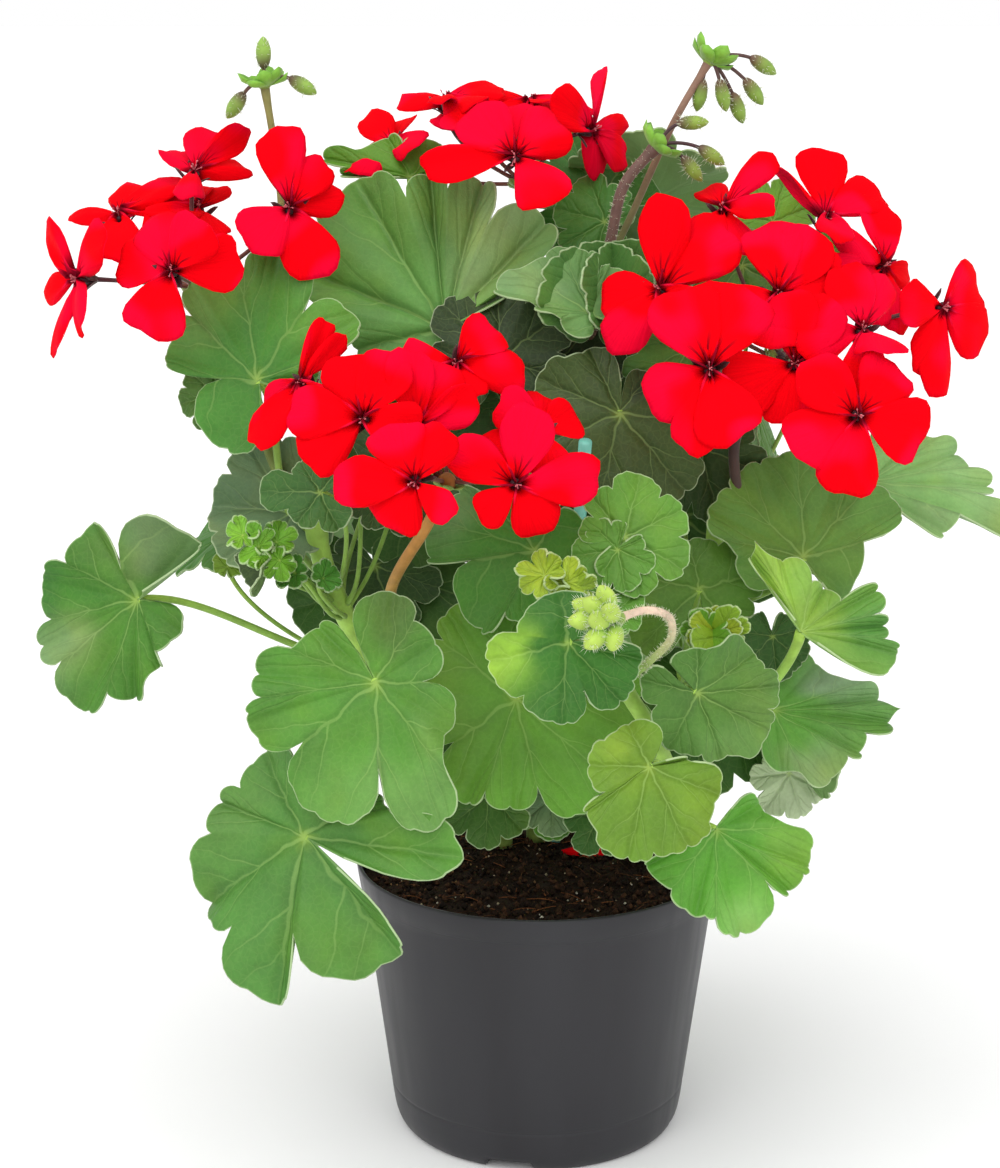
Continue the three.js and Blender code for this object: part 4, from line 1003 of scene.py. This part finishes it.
def blade(row, rng):
    """A blade over (place around it, share of the reach): round lobes between gaps and a crenate edge for its
    outline, and for its height a bowl, a fold, a tip bend, pleats that are low at each vein, a waved and
    ruffled margin and low dents."""
    knots = np.array(row["outline"], float) if "outline" in row else plain_outline(row, rng)
    lobes = len(knots) // 2
    place = np.linspace(0, lobes, lobes * row.get("columns", LOBE_COLUMNS) + 1)[None, :]
    share = row.get("rings", LEAF_RINGS)[:, None]
    angle = np.interp(place, np.arange(len(knots)) / 2, knots[:, 0])
    radians = np.radians(angle)
    inside = np.abs(place % 1 - 0.5) * 2
    tip_reach = knots[1::2, 1][np.minimum(place.astype(int), lobes - 1)]
    gap_reach = knots[0::2, 1][np.round(place).astype(int)]
    reach = gap_reach + (tip_reach - gap_reach) * np.clip(1 - inside ** 2.6, 0, 1) ** 0.6
    arc = np.radians(np.diff(knots[0::2, 0])) * knots[1::2, 1]
    count = np.clip(np.round(arc / TOOTH_ARC), 2, 7)
    tooth = np.interp(place, np.arange(lobes + 1), np.append(0, np.cumsum(count)))
    depth = row.get("teeth", TOOTH_DEPTH)
    reach = reach * (1 - depth * (1 - np.abs(np.sin(np.pi * tooth)) ** 0.5))
    grown = share * reach
    x, y = grown * np.cos(radians), grown * np.sin(radians)
    bowl, fold, bend = row.get("shape", (-0.05, 0, 0.06))
    height = bowl * grown ** 2 + fold * np.abs(y) - bend * np.maximum(x, 0) ** 2
    ridge = np.abs(np.sin(np.pi * (place - 0.5))) ** 0.85 - 0.4
    height = height + row.get("pleat", 0.07) * share ** 1.3 * ridge
    wave = row.get("wave", 0.04)
    height = height + wave * share ** 3 * np.sin(rng.integers(3, 6) * radians + rng.uniform(0, 6))
    height = height + RIM_RUFFLE * share ** 4 * np.sin(np.pi * tooth + rng.uniform(0, 6))
    for depth, wavelength in DENTS:
        height = height + depth * share * gentle(x, y, rng, wavelength)
    out, tip, side = axes_of(row["facing"], row["spin"])
    local = x[..., None] * tip + y[..., None] * side + height[..., None] * out
    points = np.asarray(row["hub"], float) + row["radius"] * local
    for at, width, lift in row.get("curls", ()):
        rise = row["radius"] * lift * share ** 2 * np.exp(-((angle - at) / width) ** 2)
        points = points + rise[..., None] * out
    tint = all_over(row["green"], *grown.shape)
    # Colour patches: some are the leaf's own tones, the others painted sheen, highlights and shade
    for at, width, start, code, strength in row.get("patches", ()):
        weight = strength * np.exp(-((angle - at) / width) ** 2) * ramp(share, start, start + 0.35)
        tint = tint + (colour(code) - tint) * weight[..., None]
    glow = 0.5 * (1 - ramp(share, 0.0, 0.1)) * np.ones_like(angle)
    tint = tint + (colour(HUB_GLOW) - tint) * glow[..., None]
    longest = np.interp(place, np.arange(lobes) + 0.5, knots[1::2, 1])
    pattern = np.radians((place - lobes / 2) * PATTERN_ANGLE)
    uv = (grown / longest)[..., None] * np.stack([np.cos(pattern), np.sin(pattern)], -1)
    top = sheet(points, LEAF, poles=(True, False), uv=uv, tint=tint * LEAF_TONE,
                edge=(1 - share) * reach * row["radius"])
    return thicken(top, LEAF_THICKNESS)


def petiole(row):
    """The stalk of a leaf, from inside its stem to just under the hub, thicker at both ends."""
    out, tip, _ = axes_of(row["facing"], row["spin"])
    thick = row.get("thick", PETIOLE_RADIUS)
    start, leaving = fork(row["stem"], row["at"], row["hub"], thick)
    end = np.asarray(row["hub"], float) - 0.5 * out
    reach = np.linalg.norm(end - start)
    path = bezier([start - 2.5 * leaving, start + 0.3 * reach * leaving,
                   end - out * 0.25 * reach - tip * 0.2 * reach, end], 28)
    share = np.linspace(0, 1, 28)
    radius = thick * (0.92 + 0.5 * np.exp(-((share / 0.06) ** 2)) + 0.15 * ramp(share, 0.9, 1))
    tint = shaded(row.get("stalk", "#86ab4a"), "#9cc24e", ramp(share, 0.6, 1))
    return tube(path, radius, 10, STALK, tint=tint)


def leaf(row, number):
    """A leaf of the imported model: its blade and its stalk."""
    rng = np.random.default_rng(SEED + number)
    piece(f"leaf_{row['name']}", [blade(row, rng), petiole(row)])


def young_leaves(stem_name, rows):
    """The young and inner leaves of one stem, as one piece."""
    rng = np.random.default_rng(SEED + 700 + len(stem_name))
    parts = []
    for hub, radius, facing, spin, green, at, more in rows:
        row = dict(hub=hub, radius=radius, facing=facing, spin=spin, green=green, stem=stem_name, at=at,
                   columns=YOUNG_COLUMNS, rings=YOUNG_RINGS, thick=YOUNG_PETIOLE_RADIUS, **more)
        parts += [blade(row, rng), petiole(row)]
    piece(f"young_leaves_{stem_name}", parts)


# Flowers

def petal(length, width, rng):
    """A petal over (along, across): a fan about the throat, narrow at its claw, with a round and slightly
    ruffled far end, a cupped and drooping blade, and low waves across it. Gives its points with the petal
    along x, how far each drops into the throat, and the UV."""
    across = np.sin(np.linspace(-np.pi / 2, np.pi / 2, 17))[None, :]
    along = np.linspace(0.04, 1, 15)[:, None]
    phase = rng.uniform(0, 6, 5)
    uneven = 1 + 0.04 * np.sin(3.5 * across + phase[0]) + 0.022 * np.sin(9 * across + phase[1])
    rim = 0.1 + 0.9 * (1 - 0.1 * across ** 2) * np.clip(1 - np.abs(across) ** 5, 0, 1) ** 0.42
    turn = across * PETAL_FAN * (0.55 + 0.45 * ramp(along, 0, 0.5))
    reach = length * along * rim * uneven
    x = reach * np.cos(turn)
    y = reach * np.sin(turn) * width / (PETAL_FULLNESS * length)
    droop = PETAL_DROOP + rng.uniform(-1.2, 1.6)
    z = (-droop * np.maximum(along - 0.5, 0) ** 2 * 4
         + PETAL_CUP * across ** 2 * ramp(along, 0.1, 0.7) * np.cos(phase[2])
         + PETAL_WAVE * along ** 2 * np.sin(4.5 * across + phase[3])
         + PETAL_RUFFLE * along ** 4 * np.sin(9 * across + phase[4]))
    drop = THROAT_DEPTH * (1 - ramp(along, 0, 0.3)) + 0 * across
    uv = np.stack([across + 0 * along, along * rim], -1)
    return np.stack([x, y, z], -1), drop, uv


def set_petal(row, stack, throat, axes, rng):
    """A petal set in its floret: turned about the throat, lifted, rolled, and raised by stack at its tip."""
    out, tip, side = axes
    degrees, length, width, lift, *more = row
    turn, lift, roll = np.radians([degrees, lift, more[0] if more else 0])
    shape, drop, uv = petal(length, width, rng)
    flat = turned(turn, tip, side)
    ahead, above = turned(lift, flat, out), turned(lift, out, -flat)
    aside = np.cross(above, ahead)
    aside, above = turned(roll, aside, above), turned(roll, above, -aside)
    points = (throat + shape @ np.array([ahead, aside, above]) - drop[..., None] * out
              + (stack * np.linspace(0, 1, len(shape)))[:, None, None] * out)
    is_upper = float(abs(degrees - 180) < UPPER_PETALS_WITHIN)
    top = sheet(points, PETAL, uv=uv, upper=np.full(uv.shape[:2], is_upper))
    return thicken(top, PETAL_THICKNESS)


def sepal(throat, ahead, aside, out):
    """A sepal over (along, across): it climbs from the calyx's foot and flares at the throat to a point."""
    s = np.linspace(0, 1, 7)[:, None]
    t = np.linspace(-1, 1, 5)[None, :]
    half = 1.9 * (0.35 + s) * (1 - s) ** 0.6
    spread = 0.6 + 5.5 * s ** 1.4
    sink = CALYX_LENGTH * (1 - s) ** 1.2 + 2.0 * s * (1 - s) + 0.6
    points = (throat + (spread + 0 * t)[..., None] * ahead + (half * t)[..., None] * aside
              - (sink + 0.3 * t ** 2)[..., None] * out)
    return thicken(sheet(points, STALK, poles=(False, True), tint=all_over("#4a2428", 7, 5)), 0.25)


def floret(name, row, number):
    """Petals about the throat, with the sepals, the calyx and the stamens."""
    rng = np.random.default_rng(SEED + 100 + number)
    throat, facing, petals = row
    out, tip, side = axes_of(facing, 0)
    throat = np.asarray(throat, float)
    parts = [set_petal(petal_row, stack, throat, (out, tip, side), rng)
             for petal_row, stack in zip(petals, PETAL_STACK)]
    for k in range(PART_COUNT):
        turn = math.radians(360 / PART_COUNT * (k + 0.5) + rng.uniform(-8, 8))
        parts.append(sepal(throat, turned(turn, tip, side), turned(turn, side, -tip), out))
    calyx = throat - out * np.linspace(CALYX_LENGTH + 0.2, 1.2, len(CALYX_RADII))[:, None]
    parts.append(tube(calyx, CALYX_RADII, 10, STALK, tint=all_over("#40222a", len(calyx))))
    for _ in range(PART_COUNT):
        lean = unit(out + 0.25 * rng.normal(size=3))
        start = throat - 2.5 * out
        far = start + lean * rng.uniform(3.2, 4.8)
        parts.append(tube(bezier([start, start + 2 * out, far], 6), STAMEN_RADIUS, 4, STAMEN))
        parts.append(ball(far, lean + 0.5 * rng.normal(size=3), *ANTHER_SIZE, STAMEN, sides=5, rows=4))
    piece(name, parts)


def peduncle(row, base, far):
    """The long stalk of a flower head or bud cluster, from inside the stem through its points to its head."""
    first = np.asarray(row["via"][0], float)
    start, leaving = fork(row["stem"], row["at"], first, PEDUNCLE_RADIUS)
    lead = start + leaving * 0.25 * np.linalg.norm(start - first)
    path = smooth_path([start - 3 * leaving, lead, *row["via"], row["head"]], 48)
    share = np.linspace(0, 1, 48)
    thick = row.get("thick", PEDUNCLE_RADIUS)
    radius = thick * (0.95 + 0.4 * np.exp(-((share / 0.05) ** 2)) + 0.35 * ramp(share, 0.93, 1))
    return tube(path, radius, 12, STALK, tint=shaded(base, far, ramp(share, 0.15, 0.8))), path


def bracts(head, axis, count, length, code, rng):
    """A whorl of small rounded bracts at the top of a stalk: each spreads out and bends up a little, its
    edges more than its middle."""
    parts = []
    side = unit(np.cross(axis, (0.3, 1, 0.2)))
    other = np.cross(axis, side)
    s = np.linspace(0, 1, 8)[:, None]
    t = np.linspace(-1, 1, 7)[None, :]
    for k in range(count):
        turn = 2 * math.pi * (k + rng.uniform(-0.2, 0.2)) / count
        ahead = turned(turn, side, other)
        aside = np.cross(axis, ahead)
        half = 0.5 * length * (0.45 + s) * (1 - s) ** 0.5
        bend = rng.uniform(0.1, 0.55)
        points = (np.asarray(head, float) + ((1.2 + length * s ** 0.9 * 0.8) + 0 * t)[..., None] * ahead
                  + (half * t)[..., None] * aside
                  + (length * (bend * s ** 1.5 + 0.25 * t ** 2 * s) - 1)[..., None] * axis)
        tint = np.broadcast_to(colour(code) * rng.uniform(0.85, 1.1), (8, 7, 4))
        parts.append(thicken(sheet(points, STALK, poles=(False, True), tint=tint), 0.3))
    return parts


def hairs(centres, along, radius, count, length, rng):
    """Fine pale hairs that stand off a stalk at random points of its path."""
    pick = rng.integers(0, len(centres), count)
    away = rng.normal(size=(count, 3))
    away = unit(away - along[pick] * (away * along[pick]).sum(axis=1)[:, None])
    roots = centres[pick] + rng.uniform(-0.5, 0.5, (count, 1)) * along[pick] + away * radius
    return spikes(roots, away + 0.2 * along[pick], rng.uniform(0.5, 1, count) * length, 0.1, STALK,
                  tint=colour("#dfe3c0"))


def topped_stalk(row, radius, code):
    """The stalk of a flower head or bud cluster and the knob at its top, its path, its head and its last
    direction."""
    stalk, path = peduncle(row, *row["tones"])
    head = np.asarray(row["head"], float)
    axis = unit(path[-1] - path[-3])
    knob = ball(head, axis, radius, radius, STALK, tint=all_over(code, 9))
    return [stalk, knob], path, head, axis


def flower_stalk(row, number):
    """The stalk of a flower head, its head with bracts, and a thin pedicel to each floret's calyx."""
    rng = np.random.default_rng(SEED + 300 + number)
    parts, _, head, axis = topped_stalk(row, 2.9, row["tones"][1])
    parts += bracts(head, axis, 6, 5, "#7d9a45", rng)
    for throat, facing, _ in row["florets"]:
        out, _, _ = axes_of(facing, 0)
        end = np.asarray(throat, float) - out * CALYX_LENGTH
        reach = np.linalg.norm(end - head)
        line = bezier([head, end - out * 0.4 * reach, end], 14)
        share = np.linspace(0, 1, 14)
        thick = PEDICEL_RADIUS * (1 + 0.2 * ramp(share, 0.85, 1))
        parts.append(tube(line, thick, 7, STALK, tint=shaded("#7a4a3a", "#46202a", share)))
    piece(f"flower_stalk_{row['name']}", parts)


def bud_cluster(row, number):
    """A stalk with bracts and unopened buds: hairy long balls with a pointed end, on short pedicels."""
    rng = np.random.default_rng(SEED + 400 + number)
    parts, path, head, axis = topped_stalk(row, 2.4, "#8aa84a")
    if row["bracts"]:
        parts += bracts(head, axis, row["bracts"], 8, "#7ab03c", rng)
    radius, half_length = row["size"]
    bud_base, bud_tip, pedicel = row["bud_tones"]
    tint = shaded(bud_base, bud_tip, ramp(np.linspace(0, 1, 15), 0.15, 0.6))
    for centre in row["buds"]:
        centre = np.asarray(centre, float)
        away = unit(centre - head)
        hang = unit(away - np.array([0, 0, BUD_DROOP])) if row["bracts"] else away
        parts.append(ball(centre, hang, radius, half_length, STALK, sides=14, rows=15, point=1.5, tint=tint))
        joint = centre - hang * half_length * 0.8
        line = bezier([head, (head + joint) / 2 + np.array([0, 0, 2.5]), joint], 10)
        parts.append(tube(line, 0.6, 7, STALK, tint=all_over(pedicel, 10)))
        around = unit(rng.normal(size=(60, 3)))
        roots = (centre + around * radius * 0.9
                 + (around @ hang)[:, None] * hang * (half_length - radius) * 0.8)
        parts.append(spikes(roots, around, rng.uniform(1.2, 2.6, 60), 0.11, STALK, tint=colour("#e6ecd0")))
    if row.get("hairy"):
        along = unit(np.gradient(path, axis=0))
        parts.append(hairs(path[8:], along[8:], row.get("thick", PEDUNCLE_RADIUS) * 0.95, 500, 1.3, rng))
    piece(f"bud_cluster_{row['name']}", parts)


# Stems

def stem(name):
    """A stem: a bar along its path, swollen a little where each stalk leaves it."""
    path = stem_path(name, 90)
    share = np.linspace(0, 1, 90)
    forks = [row["at"] for row in [*LEAVES, *UMBELS, *BUD_CLUSTERS] if row["stem"] == name]
    length = np.linalg.norm(np.diff(path, axis=0), axis=1).sum()
    swell = sum(np.exp(-((share - at) * length / 2.5) ** 2) for at in forks)
    radius = STEMS[name]["radius"] * (1.05 - 0.16 * share + 0.1 * np.minimum(swell, 1))
    radius[-2:] = radius[-3] * np.array([0.85, 0.55])
    tint = shaded("#7f9444", "#a4cc5a", ramp(share, 0.1, 0.5))
    tint = tint + (colour("#84a848") - tint) * (0.5 * np.minimum(swell, 1))[:, None]
    piece(f"stem_{name}", [tube(path, radius, 20, STALK, tint=tint)])


# Pot and soil

def drill(made, places, radius, low, high):
    """Cuts upright round holes: the piece less a closed bar at each place, with the new edges left sharp."""
    bars = [tube([(x, y, z) for z in np.linspace(low, high, 3)], radius, 32, POT) for x, y in places]
    cutter = bpy.data.objects.new("drill", mesh_of("drill", bars))
    bpy.context.scene.collection.objects.link(cutter)
    holes = made.modifiers.new("holes", "BOOLEAN")
    holes.operation = "DIFFERENCE"
    holes.solver = "EXACT"
    holes.object = cutter
    drilled = bpy.data.meshes.new_from_object(made.evaluated_get(bpy.context.evaluated_depsgraph_get()))
    made.modifiers.clear()
    made.data = drilled
    drilled.set_sharp_from_angle(angle=math.radians(60))
    bpy.data.objects.remove(cutter)


def wall_radius(height):
    """The outer radius of the pot's straight wall at a height."""
    return POT_WALL_FOOT_RADIUS + (POT_TOP_RADIUS - COLLAR_STEP - POT_WALL_FOOT_RADIUS) * height / POT_HEIGHT


def circle(count):
    """Angles all the way round, as one row."""
    return np.linspace(0, 2 * np.pi, count, endpoint=False)[None, :]


def pot():
    """The pot: its profile of (radius, height) turned about Z, with the foot ring raised at each notch, and
    drain holes in its floor."""
    collar_foot = POT_HEIGHT - COLLAR_HEIGHT
    inner_foot = FLOOR_LEVEL + POT_WALL
    ring_inside = POT_FOOT_RADIUS - FOOT_RING_WIDTH
    near_line = MOULD_LINE_HEIGHT + np.array([-1.2, -0.6, -0.3, 0, 0.3, 0.6, 1.2])
    heights = sorted([*np.linspace(WALL_START, collar_foot, 30), *near_line])
    profile = np.array([
        (0, FLOOR_LEVEL),
        (ring_inside - 1, FLOOR_LEVEL),
        (ring_inside - 0.3, FLOOR_LEVEL - 0.6),
        (ring_inside, 0.3),
        (ring_inside + 0.3, 0),
        (POT_FOOT_RADIUS - 0.2, 0),
        (POT_FOOT_RADIUS + 0.6, 0.25),
        (POT_FOOT_RADIUS + 1.5, 1.0),
        (POT_FOOT_RADIUS + 2.3, 2.2),
        (POT_FOOT_RADIUS + 2.9, 3.6),
        (POT_FOOT_RADIUS + 3.4, 5.2),
        *((wall_radius(z) - MOULD_LINE_DEPTH * math.exp(-((z - MOULD_LINE_HEIGHT) / 0.5) ** 2), z)
          for z in heights),
        (wall_radius(collar_foot) + 0.1, collar_foot + 0.15),
        (wall_radius(collar_foot) + COLLAR_STEP, collar_foot + COLLAR_STEP),
        (POT_TOP_RADIUS - 0.3, POT_HEIGHT - 3),
        (POT_TOP_RADIUS, POT_HEIGHT - 0.7),
        (POT_TOP_RADIUS - 0.1, POT_HEIGHT - 0.25),
        (POT_TOP_RADIUS - 0.4, POT_HEIGHT),
        (POT_TOP_RADIUS - POT_WALL + 0.3, POT_HEIGHT),
        (POT_TOP_RADIUS - POT_WALL, POT_HEIGHT - 0.3),
        (wall_radius(collar_foot) - POT_WALL + COLLAR_STEP, collar_foot),
        (wall_radius(WALL_START) - POT_WALL, WALL_START),
        (POT_FOOT_RADIUS, inner_foot),
        (0, inner_foot),
    ])
    angle = circle(POT_COLUMNS)
    r, z = profile[:, :1], profile[:, 1:]
    spacing = 2 * np.pi / NOTCH_COUNT
    start = math.radians(NOTCH_BEARING - 90)
    off = np.abs((angle - start + spacing / 2) % spacing - spacing / 2) * POT_FOOT_RADIUS
    lift = NOTCH_HEIGHT * (1 - ramp(off, NOTCH_WIDTH / 2 - 2, NOTCH_WIDTH / 2))
    low = (z < NOTCH_HEIGHT) & (r > ring_inside - 0.8)
    z = np.where(low, np.maximum(z, lift), z)
    points = np.stack([r * np.cos(angle), r * np.sin(angle), z + 0 * angle], -1)
    made = piece("pot", [sheet(points[:, ::-1], POT, poles=(True, True), wrap=True)])
    turns = np.radians(90) + 2 * np.pi * np.arange(DRAIN_COUNT) / DRAIN_COUNT
    places = DRAIN_RING_RADIUS * np.column_stack([np.cos(turns), np.sin(turns)])
    drill(made, places, DRAIN_RADIUS, FLOOR_LEVEL - 2, inner_foot + 0.3)


def crumbs(rng, count, size, codes, radius, spread):
    """Small lumps of compost: bent eight-sided balls with a random squash, strewn over the soil."""
    away = radius * np.sqrt(rng.uniform(0, 1, count))
    bearing = rng.uniform(0, 2 * np.pi, count)
    height = SOIL_TOP + rng.uniform(-0.2, spread, count)
    centres = np.stack([away * np.cos(bearing), away * np.sin(bearing), height], -1)
    base = np.array([(1, 0, 0), (0, 1, 0), (-1, 0, 0), (0, -1, 0), (0, 0, 1), (0, 0, -1)], float)
    corners = np.array([(0, 1, 4), (1, 2, 4), (2, 3, 4), (3, 0, 4),
                        (1, 0, 5), (2, 1, 5), (3, 2, 5), (0, 3, 5)])
    shape = base[None] * rng.uniform(0.5, 1.0, (count, 6, 1)) * rng.uniform(*size, (count, 1, 1))
    turn = rng.uniform(0, 2 * np.pi, count)[:, None]
    x = shape[..., 0] * np.cos(turn) - shape[..., 1] * np.sin(turn)
    y = shape[..., 0] * np.sin(turn) + shape[..., 1] * np.cos(turn)
    points = (centres[:, None] + np.stack([x, y, shape[..., 2]], -1)).reshape(-1, 3)
    faces = (corners[None] + 6 * np.arange(count)[:, None, None]).reshape(-1, 3)
    faces = np.column_stack([faces, np.full(len(faces), -1)])
    palette = np.array([colour(code) for code in codes])
    tint = np.repeat(palette[rng.integers(0, len(codes), count)], 6, axis=0)
    return dict(points=points, faces=faces, marks=dict(tint=tint), finish=SOIL)


def fibres(rng, rim):
    """Short bowed bits of root and straw on the soil; one that would reach past the rim is left out."""
    parts = []
    for _ in range(FIBRE_COUNT):
        away, bearing, heading = rim * 0.95 * math.sqrt(rng.uniform()), *rng.uniform(0, 2 * math.pi, 2)
        height = SOIL_TOP + rng.uniform(0.2, 1.4)
        middle = np.array([away * math.cos(bearing), away * math.sin(bearing), height])
        half = rng.uniform(1.5, 5)
        half = half * np.array([math.cos(heading), math.sin(heading), rng.uniform(-0.1, 0.25)])
        if max(math.hypot(*(middle + half)[:2]), math.hypot(*(middle - half)[:2])) > rim - 1:
            continue
        bow = np.array([0, 0, rng.uniform(0, 1.2)])
        tone = FIBRE_TONES[rng.integers(len(FIBRE_TONES))]
        path = bezier([middle - half, middle + bow, middle + half], 6)
        parts.append(tube(path, FIBRE_RADIUS, 4, SOIL, tint=all_over(tone, 6)))
    return parts


def soil():
    """The compost: a plug whose top is a rough disc, with crumbs, pale flecks and fibres strewn on it."""
    rng = np.random.default_rng(SEED + 500)
    rim = wall_radius(SOIL_TOP) - POT_WALL - 0.1
    share = np.linspace(0, 1, 46)[:, None]
    angle = circle(150)
    x, y = rim * share * np.cos(angle), rim * share * np.sin(angle)
    rough = gentle(x, y, rng, 22)
    for weight, wavelength in ((0.8, 9), (0.6, 4), (0.5, 2)):
        rough = rough + weight * gentle(x, y, rng, wavelength)
    z = SOIL_TOP - 0.6 + SOIL_ROUGHNESS * rough - 0.8 * share ** 6
    rings = [np.stack([x, y, z], -1)]
    for radius, height in ((wall_radius(60) - POT_WALL - 0.1, 60),
                           (wall_radius(WALL_START) - POT_WALL - 0.3, WALL_START + 0.2),
                           (POT_FOOT_RADIUS - 1, SOIL_FOOT), (0, SOIL_FOOT)):
        rings.append(np.stack([radius * np.cos(angle), radius * np.sin(angle), height + 0 * angle], -1))
    points = np.concatenate(rings)
    parts = [sheet(points, SOIL, poles=(True, True), wrap=True, tint=all_over("#2b1d14", *points.shape[:2]))]
    parts.append(crumbs(rng, CRUMB_COUNT, (0.6, 1.9), CRUMB_TONES, rim - 1.5, 0.9))
    parts.append(crumbs(rng, FLECK_COUNT, (0.3, 0.8), FLECK_TONES, rim - 1.5, 1.2))
    piece("soil", parts + fibres(rng, rim))


def cane():
    """A thin plastic support tube that stands in the pot behind the front leaves, closed at both ends."""
    foot, top = np.array(CANE, float)
    path = foot + (top - foot) * np.linspace(0, 1, 24)[:, None]
    piece("support_cane", [tube(path, CANE_RADIUS, 16, CANE_PLASTIC)])


def fallen_petal():
    """One dropped petal that lies on the compost, flatter than on its flower."""
    rng = np.random.default_rng(SEED + 600)
    shape, _, uv = petal(16, 12, rng)
    shape[..., 2] *= 0.6
    turn = math.radians(15)
    ahead = (math.cos(turn), math.sin(turn), 0.04)
    aside = (-math.sin(turn), math.cos(turn), 0)
    points = np.array(FALLEN_PETAL_PLACE) + shape @ np.array([ahead, aside, (0, 0, 1)])
    top = sheet(points, PETAL, uv=uv + np.array([0, 0.4]), upper=np.zeros(uv.shape[:2]))
    piece("fallen_petal", [thicken(top, PETAL_THICKNESS)])


pot()
soil()
cane()
fallen_petal()
for name in STEMS:
    stem(name)
for number, row in enumerate(LEAVES):
    leaf(row, number)
for stem_name, rows in YOUNG.items():
    young_leaves(stem_name, rows)
for number, umbel in enumerate(UMBELS):
    flower_stalk(umbel, number)
    for k, row in enumerate(umbel["florets"]):
        floret(f"floret_{umbel['name']}_{k + 1}", row, 20 * number + k)
for number, row in enumerate(BUD_CLUSTERS):
    bud_cluster(row, number)


# Floor, light and camera

def floor():
    """A plain matt white disc, large enough to fill any view."""
    angle = circle(96)
    radius = np.array(FLOOR_RINGS)[:, None]
    points = np.stack([radius * np.cos(angle), radius * np.sin(angle), 0 * radius * angle], -1)
    disc = sheet(points, FLOOR, poles=(True, False), wrap=True)
    made = bpy.data.objects.new("floor", mesh_of("floor", [disc]))
    bpy.context.scene.collection.objects.link(made)


def sun(name, direction, strength, softness):
    """A broad soft light from a direction; softness is in degrees."""
    data = bpy.data.lights.new(name, "SUN")
    data.energy = strength
    data.angle = math.radians(softness)
    made = bpy.data.objects.new(name, data)
    x, y, z = unit(direction)
    made.rotation_euler = (math.acos(z), 0, math.atan2(x, -y))
    bpy.context.scene.collection.objects.link(made)


def world():
    """A white studio: brightest at the horizon, softer overhead."""
    scene_world = bpy.data.worlds.new("studio")
    bpy.context.scene.world = scene_world
    scene_world.use_nodes = True
    tree = scene_world.node_tree
    tree.nodes.clear()
    height = split(tree, add(tree, "TexCoord"))[2]
    strength = remap(tree, height, 0.03, 0.3, 1.0, 0.64)
    shader = add(tree, "Background", {}, {"Color": (1, 1, 1, 1), "Strength": strength})
    add(tree, "OutputWorld", {}, {"Surface": shader})


def camera():
    """The photograph's camera."""
    data = bpy.data.cameras.new("camera")
    data.sensor_width = SENSOR
    data.lens = FOCAL_LENGTH_PIXELS / FRAME_HEIGHT_PIXELS * SENSOR
    data.clip_end = 200
    made = bpy.data.objects.new("camera", data)
    made.location = CAMERA_PLACE
    made.rotation_euler = (math.radians(CAMERA_TILT), 0, 0)
    bpy.context.scene.collection.objects.link(made)
    bpy.context.scene.camera = made


floor()
world()
for name, lamp in LAMPS.items():
    sun(name, *lamp)
camera()
bpy.context.scene.view_settings.view_transform = "Standard"
